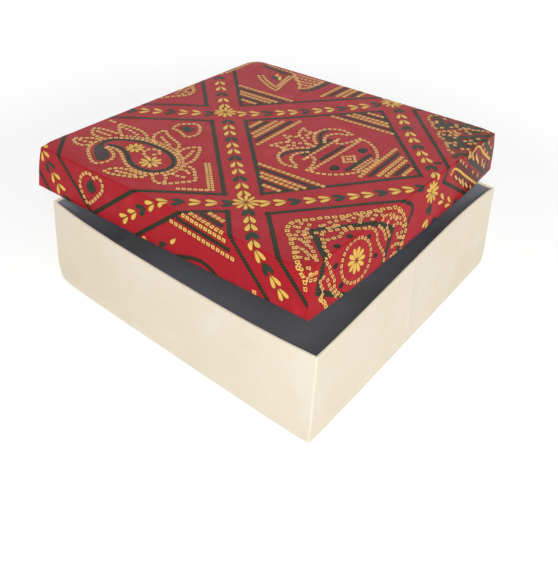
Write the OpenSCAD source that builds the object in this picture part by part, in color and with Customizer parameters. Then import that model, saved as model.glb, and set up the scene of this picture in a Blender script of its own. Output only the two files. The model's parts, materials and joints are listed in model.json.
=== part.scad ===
// Square set-up sweet box: a paper-covered board tray with a printed lift-off lid.
// The lid lies askew on the tray, as it is left when the box has just been opened.
// Origin: centre of the tray's underside, on the table. +X right, +Y back, +Z up.

/* [Tray] */
// Width of the tray over its paper, left to right
base_w = 229; // [190:1:280]
// Depth of the tray over its paper, front to back
base_d = 229; // [190:1:280]
// Height of the tray from the table to the rim
base_h = 69; // [50:0.5:90]

/* [Lid] */
// Height of the lid over its paper
lid_h = 31; // [28:0.5:45]
// Running gap on each side between the tray and a closed lid
lid_gap = 0.9; // [0.5:0.1:2]

/* [Board and paper] */
// Thickness of the greyboard
board_t = 1.2; // [1:0.1:2.5]
// Thickness of the covering paper with its glue
wrap_t = 0.3; // [0.25:0.05:0.5]
// Thickness of the stay tape over the corner joints, under the covering paper
stay_t = 0.15; // [0.08:0.01:0.2]
// Thickness of the lining papers and of the bottom sheet
liner_t = 0.2; // [0.1:0.05:0.4]
// Radius of the upright corners over the paper
corner_r = 1.2; // [0.7:0.1:1.4]

/* [Folds and edges] */
// Depth of the tray's paper turned over the rim and down the inside
base_turn_in = 18; // [8:1:30]
// Width of the tray's paper turned under the bottom
base_turn_under = 15; // [8:1:30]
// Depth of the lid's paper turned up inside the skirt
lid_turn_in = 12; // [6:1:20]
// Length of each leg of a corner stay
stay_leg = 15; // [8:1:25]
// Strip of turned-in paper left bare between a lining and the edge beside it
liner_drop = 1; // [0.5:0.1:4]
// Gap round a sheet that is dropped in flat: the floor and lid-top linings
sheet_gap = 0.3; // [0.1:0.1:1]
// Strip of turned-under paper left bare round the bottom sheet
bottom_inset = 3; // [1:0.5:6]

/* [Place of the resting lid] */
// How far the lid has slid to the left
lid_slide_left = 19; // [6:0.5:30]
// How far the lid has slid to the back
lid_slide_back = 14.5; // [6:0.5:30]
// Tilt of the lid, its front right corner raised, in degrees
lid_tilt = 4.5; // [0:0.1:7]
// Gap between the rim and the lid's edges where they cross
seat_gap = 0.15; // [0.1:0.05:0.5]

/* [Hidden] */
// Facets of a full turn on the rounded corners
$fn = 48;
// Overshoot of a cutting shape, so that no skin is left
cut = 1;

// Depths from the outside of a wall to each of its layers
board_out = wrap_t;
board_in = board_out + board_t;
turn_in = board_in + wrap_t;
wall_t = turn_in + liner_t;

// Heights in the tray
wrap_under_z = liner_t;
floor_board_z = wrap_under_z + wrap_t;
floor_top_z = floor_board_z + board_t;
rim_board_z = base_h - wrap_t;

// Outer size and heights of the lid, in its own frame: underside of the skirt at 0
lid_w = base_w + 2 * (lid_gap + wall_t);
lid_d = base_d + 2 * (lid_gap + wall_t);
lid_board_top_z = lid_h - wrap_t;
lid_board_under_z = lid_board_top_z - board_t;

// The lid's front skirt crosses the left rim, and its right skirt crosses the back rim.
// The lid tilts about the line through those two crossings.
cross_z = base_h + seat_gap;
front_cross = [-base_w / 2, lid_slide_back - lid_d / 2 + wall_t, cross_z];
right_cross = [lid_w / 2 - wall_t - lid_slide_left, base_d / 2, cross_z];
tilt_axis = right_cross - front_cross;

// Colours
grey_board = "#A99F8C";
stay_tape = "#C9A878";
ivory_paper = "#E9E0C9";
slate_paper = "#4E545E";
white_paper = "#DDD8CC";
red_print = "#B3202E";

// Rectangle centred on the origin with round corners, or square ones where r is 0
module panel(w, d, r = 0) {
    if (r > 0) {
        square([w - 2 * r, d], center = true);
        square([w, d - 2 * r], center = true);
        for (x = [-1, 1], y = [-1, 1])
            translate([x * (w / 2 - r), y * (d / 2 - r)])
                circle(r);
    } else {
        square([w, d], center = true);
    }
}

// The outline of a shell's walls at a depth below its outer surface
module layer(w, d, depth) {
    panel(w - 2 * depth, d - 2 * depth, max(corner_r - depth, 0));
}

// A ring of paper or board between two depths, from height z0 to z1
module ring(w, d, outer, inner, z0, z1) {
    translate([0, 0, z0])
        linear_extrude(z1 - z0)
            difference() {
                layer(w, d, outer);
                layer(w, d, inner);
            }
}

// A flat sheet at a depth below the outer surface, from height z0 to z1
module sheet(w, d, depth, z0, z1) {
    translate([0, 0, z0])
        linear_extrude(z1 - z0)
            layer(w, d, depth);
}

// A board across the full width, at the front (side -1) or the back (side 1)
module long_board(w, d, side, z0, z1) {
    translate([0, 0, z0])
        linear_extrude(z1 - z0)
            intersection() {
                layer(w, d, board_out);
                translate([0, side * (d / 2 - board_out - board_t / 2)])
                    square([w, board_t], center = true);
            }
}

// A board that fits between the long ones, at the left (side -1) or the right (side 1)
module short_board(w, d, side, z0, z1) {
    translate([side * (w / 2 - board_out - board_t / 2), 0, z0])
        linear_extrude(z1 - z0)
            square([board_t, d - 2 * board_in], center = true);
}

// Tape folded round the corner joint on side x (-1 left, 1 right) and y (-1 front, 1 back)
module stay(w, d, x, y, z0, z1) {
    translate([0, 0, z0])
        linear_extrude(z1 - z0)
            intersection() {
                difference() {
                    layer(w, d, board_out - stay_t);
                    layer(w, d, board_out);
                }
                translate([x * (w / 2 - stay_leg / 2), y * (d / 2 - stay_leg / 2)])
                    square(stay_leg, center = true);
            }
}

module all_stays(w, d, z0, z1) {
    for (x = [-1, 1], y = [-1, 1])
        stay(w, d, x, y, z0, z1);
}

// Lining of a wall: flat on the board, with a step over the turned-in paper.
// It runs from bare_z on the turned-in paper to deep_z on the board.
module wall_lining(w, d, bare_z, turn_z, deep_z) {
    down = deep_z < bare_z ? -1 : 1;
    step_z = turn_z + down * liner_t;
    ring(w, d, turn_in, wall_t, min(bare_z, step_z), max(bare_z, step_z));
    ring(w, d, board_in, wall_t, min(turn_z, step_z), max(turn_z, step_z));
    ring(w, d, board_in, board_in + liner_t, min(turn_z, deep_z), max(turn_z, deep_z));
}

// Puts a piece of the lid where the lid lies on the tray
module resting_lid() {
    translate(front_cross)
        rotate(a = -lid_tilt, v = tilt_axis)
            translate([-lid_slide_left, lid_slide_back, cross_z] - front_cross)
                children();
}

module base_floor_board() {
    color(grey_board)
        sheet(base_w, base_d, board_out, floor_board_z, floor_top_z);
}

module base_long_wall_board(side) {
    color(grey_board)
        long_board(base_w, base_d, side, floor_top_z, rim_board_z);
}

module base_short_wall_board(side) {
    color(grey_board)
        short_board(base_w, base_d, side, floor_top_z, rim_board_z);
}

module base_corner_stay(x, y) {
    color(stay_tape)
        stay(base_w, base_d, x, y, floor_board_z, rim_board_z);
}

// One ivory paper: round the walls, over the rim, down the inside and under the bottom
module base_outer_wrap() {
    color(ivory_paper)
        difference() {
            union() {
                ring(base_w, base_d, 0, board_out, wrap_under_z, base_h);
                ring(base_w, base_d, 0, turn_in, rim_board_z, base_h);
                ring(base_w, base_d, board_in, turn_in, base_h - base_turn_in, base_h);
                ring(base_w, base_d, 0, base_turn_under, wrap_under_z, floor_board_z);
            }
            all_stays(base_w, base_d, floor_board_z, rim_board_z);
        }
}

// Paper glued over the turned-under edges, filled level with them in the middle
module base_bottom_sheet() {
    color(ivory_paper) {
        sheet(base_w, base_d, bottom_inset, 0, wrap_under_z);
        sheet(base_w, base_d, base_turn_under, 0, floor_board_z);
    }
}

module base_wall_liner() {
    color(slate_paper)
        wall_lining(base_w, base_d, base_h - liner_drop, base_h - base_turn_in, floor_top_z);
}

module base_floor_liner() {
    color(slate_paper)
        sheet(base_w, base_d, board_in + liner_t + sheet_gap, floor_top_z, floor_top_z + liner_t);
}

module lid_top_board() {
    color(grey_board)
        resting_lid()
            sheet(lid_w, lid_d, board_out, lid_board_under_z, lid_board_top_z);
}

module lid_long_skirt_board(side) {
    color(grey_board)
        resting_lid()
            long_board(lid_w, lid_d, side, wrap_t, lid_board_under_z);
}

module lid_short_skirt_board(side) {
    color(grey_board)
        resting_lid()
            short_board(lid_w, lid_d, side, wrap_t, lid_board_under_z);
}

module lid_corner_stay(x, y) {
    color(stay_tape)
        resting_lid()
            stay(lid_w, lid_d, x, y, wrap_t, lid_board_top_z);
}

// One printed paper: over the top, down the skirt, round its edge and up the inside
module lid_printed_wrap() {
    color(red_print)
        resting_lid()
            difference() {
                union() {
                    sheet(lid_w, lid_d, 0, lid_board_top_z, lid_h);
                    ring(lid_w, lid_d, 0, board_out, 0, lid_h);
                    ring(lid_w, lid_d, 0, turn_in, 0, wrap_t);
                    ring(lid_w, lid_d, board_in, turn_in, 0, lid_turn_in);
                }
                all_stays(lid_w, lid_d, wrap_t, lid_board_top_z);
            }
}

module lid_skirt_liner() {
    color(white_paper)
        resting_lid()
            wall_lining(lid_w, lid_d, liner_drop, lid_turn_in, lid_board_under_z);
}

module lid_top_liner() {
    color(white_paper)
        resting_lid()
            sheet(lid_w, lid_d, board_in + liner_t + sheet_gap,
                  lid_board_under_z - liner_t, lid_board_under_z);
}

base_floor_board();
base_long_wall_board(-1);  // base_front_wall_board
base_long_wall_board(1);  // base_back_wall_board
base_short_wall_board(-1);  // base_left_wall_board
base_short_wall_board(1);  // base_right_wall_board
base_corner_stay(-1, -1);  // base_corner_stay_front_left
base_corner_stay(1, -1);  // base_corner_stay_front_right
base_corner_stay(-1, 1);  // base_corner_stay_back_left
base_corner_stay(1, 1);  // base_corner_stay_back_right
base_outer_wrap();
base_bottom_sheet();
base_wall_liner();
base_floor_liner();
lid_top_board();
lid_long_skirt_board(-1);  // lid_front_skirt_board
lid_long_skirt_board(1);  // lid_back_skirt_board
lid_short_skirt_board(-1);  // lid_left_skirt_board
lid_short_skirt_board(1);  // lid_right_skirt_board
lid_corner_stay(-1, -1);  // lid_corner_stay_front_left
lid_corner_stay(1, -1);  // lid_corner_stay_front_right
lid_corner_stay(-1, 1);  // lid_corner_stay_back_left
lid_corner_stay(1, 1);  // lid_corner_stay_back_right
lid_printed_wrap();
lid_skirt_liner();
lid_top_liner();
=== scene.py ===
"""Looks of a square set-up sweet box: a paper-covered board tray and a lid in printed art paper.

The box stands on the table with its lid askew. Every CAD solid is replaced by a copy of itself
that has the give of soft board: bowed walls, moved corners and knocked edges. The print lies on
the lid's paper as thin films of ink, laid out on the flat sheet and folded over the edges.
Sizes are in millimetres until a mesh is finished; Blender's unit is the metre.
"""
import json
import logging
import math
from dataclasses import dataclass, field, replace
from enum import Enum
from typing import Iterable, Sequence

import bmesh
import bpy
from mathutils import Matrix, Vector


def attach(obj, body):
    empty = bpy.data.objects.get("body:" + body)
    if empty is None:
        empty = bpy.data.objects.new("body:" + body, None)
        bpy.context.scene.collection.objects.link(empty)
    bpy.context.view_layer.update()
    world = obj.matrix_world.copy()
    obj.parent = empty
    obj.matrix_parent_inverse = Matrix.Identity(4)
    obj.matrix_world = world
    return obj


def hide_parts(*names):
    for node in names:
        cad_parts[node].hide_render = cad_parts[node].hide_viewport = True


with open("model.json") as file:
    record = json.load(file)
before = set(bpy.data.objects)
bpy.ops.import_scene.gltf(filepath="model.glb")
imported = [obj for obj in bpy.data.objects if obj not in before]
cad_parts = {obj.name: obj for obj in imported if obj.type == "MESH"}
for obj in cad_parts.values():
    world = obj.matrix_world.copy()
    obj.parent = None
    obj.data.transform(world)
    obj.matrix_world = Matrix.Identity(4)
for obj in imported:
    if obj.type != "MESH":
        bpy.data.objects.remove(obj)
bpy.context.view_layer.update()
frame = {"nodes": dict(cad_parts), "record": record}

MM = 0.001
WELD_MM = 0.001
FLAT_ANGLE = math.radians(1.0)
CREASE_ANGLE = math.radians(32.0)
# Radii of the fold at the lid's top edge and at its skirt's lower edge
LID_FOLD = 0.8
LID_FOOT = 0.45
# Radii of the folds over the tray's rim, outside and inside, and under its bottom
RIM_FOLD = 0.45
RIM_INNER_FOLD = 0.35
TRAY_FOOT = 0.5
# How near a vertex lies to the edge line that it is part of, and how deep a corner's curve cuts in
ON_EDGE = 0.01
CORNER_DIP = 0.5
# How near a vertex lies to a cut that goes through it, on a shell and on a film of ink
SHELL_CUT = 1e-4
FILM_CUT = 1e-5
# How fast a bow and a crease fade away from their wall, and the part of a knock that goes up or down
BOW_FADE = 2
CREASE_FADE = 8
KNOCK_RISE = 0.7
# Detail of the noise that varies a sheet's roughness, waves and fibres, and the noise's usual span
ROUGH_DETAIL, WAVE_DETAIL, FIBRE_DETAIL = 2.0, 1.0, 4.0
NOISE_LOW, NOISE_HIGH = 0.3, 0.7
# How far apart the noises of two colour patches lie
NOISE_SHIFT = 3.1
# Sockets of a colour Mix node
MIX_FACTOR, MIX_A, MIX_B, MIX_RESULT = 0, 6, 7, 2

log = logging.getLogger("sweet_box")


# Named options

class Side(Enum):
    """A wall of a shell, by the direction that it faces."""

    FRONT = (0, -1)
    BACK = (0, 1)
    LEFT = (-1, 0)
    RIGHT = (1, 0)


class Corner(Enum):
    """An upright corner of a shell."""

    FRONT_LEFT = (-1, -1)
    FRONT_RIGHT = (1, -1)
    BACK_LEFT = (-1, 1)
    BACK_RIGHT = (1, 1)


class Level(Enum):
    """Top or foot of a shell, as a share of its height."""

    FOOT = 0.0
    TOP = 1.0


# Shape of soft board

@dataclass(frozen=True)
class Knock:
    """A corner that has been crushed a little: how deep, and how far round it."""

    corner: Corner
    level: Level
    depth: float
    reach: float


@dataclass(frozen=True)
class Crease:
    """An upright crease in the right wall: its place, how far it stands out, and its width."""

    y: float
    height: float
    width: float


@dataclass(frozen=True)
class Give:
    """How a square shell of soft board has given in use, in its own level frame.

    Its corners move at the top and the foot, and its walls bow out. A skew leans a wall's bow to one
    of its ends, and the drop lowers the edges of its top over a reach.
    """

    width: float
    depth: float
    height: float
    top: dict[Corner, tuple[float, float]]
    foot: dict[Corner, tuple[float, float]]
    bow_top: dict[Side, float]
    bow_foot: dict[Side, float]
    knocks: tuple[Knock, ...] = ()
    crease: Crease | None = None
    bow_power: float = 3.0
    skew_top: dict[Side, float] = field(default_factory=dict)
    shoulder_drop: float = 0.0
    shoulder_reach: float = 6.0

    def moved(self, p: Vector) -> Vector:
        """Where a point of the true square shell lies on the used one.

        Args:
            p: the point, in millimetres in the shell's frame.

        Returns:
            The moved point.
        """
        u = max(-1.0, min(1.0, 2 * p.x / self.width))
        v = max(-1.0, min(1.0, 2 * p.y / self.depth))
        h = max(0.0, min(1.0, p.z / self.height))
        dx = dy = 0.0
        for corner in Corner:
            cx, cy = corner.value
            share = (1 + cx * u) * (1 + cy * v) / 4
            dx += share * (self.top[corner][0] * h + self.foot[corner][0] * (1 - h))
            dy += share * (self.top[corner][1] * h + self.foot[corner][1] * (1 - h))
        for side in Side:
            sx, sy = side.value
            near = max(0.0, sx * u + sy * v) ** BOW_FADE
            along = 1 - abs(v if sx else u) ** self.bow_power
            skew = 1 + self.skew_top.get(side, 0.0) * (v if sx else u)
            bow = near * along * (self.bow_top[side] * skew * h + self.bow_foot[side] * (1 - h))
            dx += sx * bow
            dy += sy * bow
        out = Vector((p.x + dx, p.y + dy, p.z))
        for knock in self.knocks:
            out += self.pushed(p, knock)
        if self.crease:
            off = (p.y - self.crease.y) / self.crease.width
            out.x += self.crease.height * math.exp(-off * off) * max(0.0, u) ** CREASE_FADE
        edge = self.near_edge(p.x, self.width) + self.near_edge(p.y, self.depth)
        out.z -= self.shoulder_drop * h * edge
        return out

    def near_edge(self, place: float, size: float) -> float:
        """How much of the top edge's drop is felt at a place across the shell."""
        return math.exp(-((size / 2 - abs(place)) / self.shoulder_reach) ** 2)

    def pushed(self, p: Vector, knock: Knock) -> Vector:
        """How far one knock moves a point.

        Args:
            p: the point on the true shell.
            knock: the knock.

        Returns:
            The move, inwards and towards mid height.
        """
        cx, cy = knock.corner.value
        tip = Vector((cx * self.width / 2, cy * self.depth / 2, knock.level.value * self.height))
        fade = math.exp(-((p - tip).length / knock.reach) ** 2)
        up = 1 - 2 * knock.level.value
        return Vector((-cx, -cy, up * KNOCK_RISE)).normalized() * knock.depth * fade


def stations(half: float, first: float = 1.6, growth: float = 1.4, widest: float = 10.0) -> list[float]:
    """Places of the cuts across a shell, closer together near its corners.

    Args:
        half: half the shell's width.
        first: distance of the first cut from the corner.
        growth: how fast the spacing grows.
        widest: the widest spacing.

    Returns:
        The places, from one side to the other.
    """
    step, place, found = first, half - first, [0.0]
    while place > widest / 3:
        found += [place, -place]
        step = min(step * growth, widest)
        place -= step
    return sorted(found)


def levels(height: float, first: float = 1.2, growth: float = 1.6, widest: float = 9.0) -> list[float]:
    """Heights of the cuts up a shell, closer together near its top and foot.

    Args:
        height: the shell's height.
        first: distance of the first cut from the top.
        growth: how fast the spacing grows.
        widest: the widest spacing.

    Returns:
        The heights, from the foot up.
    """
    half = height / 2
    return [half + place for place in stations(half, first, growth, widest)]


# Colour and nodes

def linear(hex_colour: str) -> tuple[float, float, float, float]:
    """An sRGB hex colour as linear RGBA.

    Args:
        hex_colour: such as "#B81E2D".

    Returns:
        The linear colour with alpha 1.
    """
    channels = [int(hex_colour[i:i + 2], 16) / 255 for i in (1, 3, 5)]
    return (*[c / 12.92 if c <= 0.04045 else ((c + 0.055) / 1.055) ** 2.4 for c in channels], 1.0)


def add_node(tree: bpy.types.NodeTree, kind: str, inputs: dict | None = None, **settings) -> bpy.types.Node:
    """Adds a node with its settings, values and links.

    Args:
        tree: the tree that gets the node.
        kind: the node's type name.
        inputs: socket name or number to a value, or to the socket that feeds it.
        settings: the node's own properties.

    Returns:
        The node.
    """
    node = tree.nodes.new(kind)
    for name, value in settings.items():
        setattr(node, name, value)
    for key, value in (inputs or {}).items():
        if isinstance(value, bpy.types.NodeSocket):
            tree.links.new(value, node.inputs[key])
        else:
            node.inputs[key].default_value = value
    return node


def per_metre(size_mm: float) -> float:
    """Noise scale whose features are about a size in millimetres."""
    return 1.0 / (size_mm * MM)


@dataclass(frozen=True)
class Mottle:
    """A second colour in soft patches: its colour, patch size, and where the noise turns to it."""

    colour: str
    size: float
    start: float
    end: float
    detail: float = 3.0


@dataclass(frozen=True)
class Paper:
    """A paper or board surface: colour patches, fibre grain and gentle waves."""

    name: str
    colour: str
    mottles: tuple[Mottle, ...]
    rough: tuple[float, float]
    rough_size: float
    grain: float
    grain_height: float
    wave: float
    wave_height: float
    ior: float = 1.45
    grain_strength: float = 0.5
    specular: float = 0.5

    def build(self) -> bpy.types.Material:
        """Makes the material.

        Returns:
            The material, on Object coordinates.
        """
        material = bpy.data.materials.new(self.name)
        material.use_nodes = True
        material.diffuse_color = linear(self.colour)
        tree = material.node_tree
        shader = tree.nodes["Principled BSDF"]
        place = add_node(tree, "ShaderNodeTexCoord").outputs["Object"]
        tree.links.new(self.coloured(tree, place), shader.inputs["Base Color"])
        tree.links.new(self.roughened(tree, place), shader.inputs["Roughness"])
        tree.links.new(self.bumped(tree, place), shader.inputs["Normal"])
        shader.inputs["IOR"].default_value = self.ior
        shader.inputs["Specular IOR Level"].default_value = self.specular
        return material

    def coloured(self, tree: bpy.types.NodeTree, place: bpy.types.NodeSocket) -> bpy.types.NodeSocket:
        """Lays the patches over the base colour.

        Args:
            tree: the material's nodes.
            place: the coordinates.

        Returns:
            The colour.
        """
        colour: bpy.types.NodeSocket | tuple = linear(self.colour)
        for index, mottle in enumerate(self.mottles):
            noise = add_node(tree, "ShaderNodeTexNoise",
                             {"Vector": place, "W": NOISE_SHIFT * (index + 1),
                              "Scale": per_metre(mottle.size), "Detail": mottle.detail},
                             noise_dimensions="4D")
            share = add_node(tree, "ShaderNodeMapRange",
                             {"Value": noise.outputs["Fac"], "From Min": mottle.start,
                              "From Max": mottle.end}, clamp=True)
            colour = add_node(tree, "ShaderNodeMix",
                              {MIX_FACTOR: share.outputs["Result"], MIX_A: colour,
                               MIX_B: linear(mottle.colour)},
                              data_type="RGBA").outputs[MIX_RESULT]
        return colour

    def roughened(self, tree: bpy.types.NodeTree, place: bpy.types.NodeSocket) -> bpy.types.NodeSocket:
        """Varies the roughness over the sheet.

        Args:
            tree: the material's nodes.
            place: the coordinates.

        Returns:
            The roughness.
        """
        noise = add_node(tree, "ShaderNodeTexNoise",
                         {"Vector": place, "Scale": per_metre(self.rough_size),
                          "Detail": ROUGH_DETAIL})
        return add_node(tree, "ShaderNodeMapRange",
                        {"Value": noise.outputs["Fac"], "From Min": NOISE_LOW, "From Max": NOISE_HIGH,
                         "To Min": self.rough[0], "To Max": self.rough[1]}).outputs["Result"]

    def bumped(self, tree: bpy.types.NodeTree, place: bpy.types.NodeSocket) -> bpy.types.NodeSocket:
        """Raises the fibre grain on top of the sheet's waves.

        Args:
            tree: the material's nodes.
            place: the coordinates.

        Returns:
            The normal.
        """
        wave = add_node(tree, "ShaderNodeTexNoise",
                        {"Vector": place, "Scale": per_metre(self.wave), "Detail": WAVE_DETAIL})
        swell = add_node(tree, "ShaderNodeBump",
                         {"Height": wave.outputs["Fac"], "Distance": self.wave_height * MM,
                          "Strength": 1.0})
        fibre = add_node(tree, "ShaderNodeTexNoise",
                         {"Vector": place, "Scale": per_metre(self.grain), "Detail": FIBRE_DETAIL})
        return add_node(tree, "ShaderNodeBump",
                        {"Height": fibre.outputs["Fac"], "Distance": self.grain_height * MM,
                         "Strength": self.grain_strength,
                         "Normal": swell.outputs["Normal"]}).outputs["Normal"]


# Uncoated ivory covering paper: matt, a little cloudy, with handling stains
IVORY_PAPER = Paper("ivory_covering_paper", "#ECE2CD",
                    (Mottle("#E9DEC6", 45.0, 0.42, 0.72), Mottle("#E3D8BC", 70.0, 0.58, 0.82),
                     Mottle("#EFE7D5", 25.0, 0.55, 0.75)),
                    rough=(0.62, 0.8), rough_size=20.0, grain=0.5, grain_height=0.02,
                    wave=26.0, wave_height=0.25)
# Black-blue lining paper, dyed in the pulp and matt, with paler and darker patches at random. Its colour
# here is painted lighter, a mid grey, to make up for the deep shade inside the tray under the lid
SLATE_PAPER_PAINTED_LIGHTER = Paper("slate_lining_paper_painted_lighter", "#8E8F95",
                    (Mottle("#9598A3", 70.0, 0.4, 0.65), Mottle("#83807C", 45.0, 0.55, 0.75)),
                    rough=(0.7, 0.88), rough_size=25.0, grain=0.6, grain_height=0.02,
                    wave=22.0, wave_height=0.12)
# Recycled greyboard: uncoated, with pale and dark fibres in it
GREYBOARD = Paper("greyboard", "#A99F8C",
                  (Mottle("#8C816D", 1.2, 0.58, 0.66), Mottle("#C4BBA8", 2.0, 0.6, 0.7)),
                  rough=(0.8, 0.95), rough_size=6.0, grain=0.6, grain_height=0.05,
                  wave=14.0, wave_height=0.05)
# Brown kraft tape: smooth side out, faintly striped along the machine direction
KRAFT_TAPE = Paper("kraft_stay_tape", "#C9A878",
                   (Mottle("#B8935F", 1.5, 0.52, 0.66), Mottle("#D8BC92", 6.0, 0.55, 0.7)),
                   rough=(0.5, 0.65), rough_size=5.0, grain=0.5, grain_height=0.02,
                   wave=18.0, wave_height=0.04)
# Uncoated off-white lining inside the lid
WHITE_PAPER = Paper("off_white_lining_paper", "#DDD8CC",
                    (Mottle("#D2CBB9", 25.0, 0.5, 0.75),),
                    rough=(0.7, 0.85), rough_size=18.0, grain=0.5, grain_height=0.02,
                    wave=20.0, wave_height=0.1)
# Machine-coated art paper, printed red and varnished: a soft gloss
RED_PRINT = Paper("red_printed_art_paper", "#AC1B27",
                  (Mottle("#A81B2A", 40.0, 0.5, 0.75), Mottle("#BE2733", 12.0, 0.55, 0.75)),
                  rough=(0.3, 0.4), rough_size=15.0, grain=0.7, grain_height=0.006,
                  wave=18.0, wave_height=0.1, ior=1.5, specular=0.11)

SLOT_FINISH: dict[str, Paper] = {
    "greyboard": GREYBOARD,
    "stay_tape": KRAFT_TAPE,
    "ivory_paper": IVORY_PAPER,
    "slate_paper": SLATE_PAPER_PAINTED_LIGHTER,
    "white_paper": WHITE_PAPER,
    "printed_paper": RED_PRINT,
}


class Finishes:
    """The materials, each made once."""

    def __init__(self) -> None:
        """Starts with none made."""
        self.made: dict[str, bpy.types.Material] = {}

    def of(self, finish: Paper) -> bpy.types.Material:
        """The material of a finish."""
        if finish.name not in self.made:
            self.made[finish.name] = finish.build()
        return self.made[finish.name]


# Meshes

@dataclass(frozen=True)
class Rounding:
    """A folded edge that is rounded: its height, distance in from the outside, radius and segments."""

    height: float
    inset: float
    radius: float
    segments: int = 3


def finish_mesh(mesh: bmesh.types.BMesh, name: str) -> bpy.types.Object:
    """Makes a smooth-shaded object of a bmesh in metres, with its creases kept sharp.

    Args:
        mesh: the bmesh, which is freed.
        name: the object's name.

    Returns:
        The object, at the origin.
    """
    for face in mesh.faces:
        face.smooth = True
    for edge in mesh.edges:
        edge.smooth = len(edge.link_faces) == 2 and edge.calc_face_angle(0.0) < CREASE_ANGLE
    data = bpy.data.meshes.new(name)
    mesh.to_mesh(data)
    mesh.free()
    piece = bpy.data.objects.new(name, data)
    bpy.context.scene.collection.objects.link(piece)
    return piece


def settle(piece: bpy.types.Object, body: str, material: bpy.types.Material) -> None:
    """Dresses a piece and lets it ride on its body.

    Args:
        piece: the piece.
        body: the CAD body that it moves with.
        material: its material.
    """
    piece.data.materials.append(material)
    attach(piece, body)


@dataclass
class Shell:
    """A square shell of board and paper, made from its CAD solids with the give of use."""

    body: str
    give: Give
    place: Matrix
    roundings: dict[str, tuple[Rounding, ...]]
    extra_cuts: tuple[float, ...] = ()

    def level_copy(self, node: str) -> bmesh.types.BMesh:
        """A merged copy of a CAD solid, in millimetres in the shell's level frame.

        Args:
            node: the CAD node.

        Returns:
            The copy, with its flat faces whole.
        """
        mesh = bmesh.new()
        mesh.from_mesh(frame["nodes"][node].data)
        mesh.transform(Matrix.Scale(1 / MM, 4) @ self.place.inverted())
        bmesh.ops.remove_doubles(mesh, verts=mesh.verts, dist=WELD_MM)
        bmesh.ops.dissolve_limit(mesh, angle_limit=FLAT_ANGLE, verts=mesh.verts, edges=mesh.edges)
        return mesh

    def rounded(self, mesh: bmesh.types.BMesh, rounding: Rounding) -> None:
        """Rounds the edges that run round the shell at one height and inset.

        Args:
            mesh: the mesh to change.
            rounding: which edges, and how round.
        """
        half_w = self.give.width / 2 - rounding.inset
        half_d = self.give.depth / 2 - rounding.inset

        def on_line(vert: bmesh.types.BMVert) -> bool:
            """Whether a vertex lies on the edge line, at its corner's curve or straight part."""
            reach = max(abs(vert.co.x) - half_w, abs(vert.co.y) - half_d)
            return abs(vert.co.z - rounding.height) < ON_EDGE and -CORNER_DIP < reach < ON_EDGE

        edges = [e for e in mesh.edges
                 if on_line(e.verts[0]) and on_line(e.verts[1])
                 and len(e.link_faces) == 2 and e.calc_face_angle(0.0) > CREASE_ANGLE]
        bmesh.ops.bevel(mesh, geom=edges, offset=rounding.radius, offset_type="OFFSET",
                        segments=rounding.segments, profile=0.5, affect="EDGES", material=-1,
                        clamp_overlap=True)

    def cut_up(self, mesh: bmesh.types.BMesh) -> None:
        """Cuts the mesh on the shell's grid, so that it can follow the give.

        Args:
            mesh: the mesh to cut.
        """
        planes = [((x, 0, 0), (1, 0, 0)) for x in stations(self.give.width / 2)]
        across = stations(self.give.depth / 2) + list(self.extra_cuts)
        planes += [((0, y, 0), (0, 1, 0)) for y in across]
        planes += [((0, 0, z), (0, 0, 1)) for z in levels(self.give.height)]
        for point, normal in planes:
            bmesh.ops.bisect_plane(mesh, geom=mesh.verts[:] + mesh.edges[:] + mesh.faces[:],
                                   dist=SHELL_CUT, plane_co=point, plane_no=normal)

    def soften(self, mesh: bmesh.types.BMesh) -> None:
        """Moves the vertices by the shell's give, and puts the mesh in its place in metres.

        Args:
            mesh: the mesh to move.
        """
        for vert in mesh.verts:
            vert.co = self.give.moved(vert.co)
        mesh.transform(self.place @ Matrix.Scale(MM, 4))

    def form(self, node: str, slot: str, finishes: Finishes) -> bpy.types.Object:
        """Makes the piece that stands for a CAD solid.

        Args:
            node: the CAD node.
            slot: its material slot.
            finishes: the materials.

        Returns:
            The piece.
        """
        mesh = self.level_copy(node)
        for rounding in self.roundings.get(node, ()):
            self.rounded(mesh, rounding)
        self.cut_up(mesh)
        self.soften(mesh)
        piece = finish_mesh(mesh, f"{node}_formed")
        settle(piece, self.body, finishes.of(SLOT_FINISH[slot]))
        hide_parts(node)
        log.info("%s: %d faces", piece.name, len(piece.data.polygons))
        return piece


@dataclass(frozen=True)
class BoxSizes:
    """Sizes of the box that the CAD source also has, in millimetres."""

    tray_width: float = 229.0
    tray_depth: float = 229.0
    tray_height: float = 69.0
    lid_height: float = 31.0
    lid_corner: float = 1.2
    lid_gap: float = 0.9
    board: float = 1.2
    wrap: float = 0.3
    liner: float = 0.2
    slide_left: float = 19.0
    slide_back: float = 14.5
    tilt: float = 4.5
    seat_gap: float = 0.15

    @property
    def wall(self) -> float:
        """Thickness of a wall with all its layers."""
        return 2 * self.wrap + self.board + self.liner

    @property
    def lid_width(self) -> float:
        """Width of the lid over its paper."""
        return self.tray_width + 2 * (self.lid_gap + self.wall)

    @property
    def lid_depth(self) -> float:
        """Depth of the lid over its paper."""
        return self.tray_depth + 2 * (self.lid_gap + self.wall)

    def lid_place(self) -> Matrix:
        """Where the lid's own level frame lies on the tray.

        Returns:
            The matrix, in metres.
        """
        cross_z = self.tray_height + self.seat_gap
        front_cross = Vector((-self.tray_width / 2,
                              self.slide_back - self.lid_depth / 2 + self.wall, cross_z))
        right_cross = Vector((self.lid_width / 2 - self.wall - self.slide_left,
                              self.tray_depth / 2, cross_z))
        offset = Vector((-self.slide_left, self.slide_back, cross_z))
        turn = Matrix.Rotation(-math.radians(self.tilt), 4, right_cross - front_cross)
        return (Matrix.Translation(front_cross * MM) @ turn
                @ Matrix.Translation((offset - front_cross) * MM))


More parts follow.
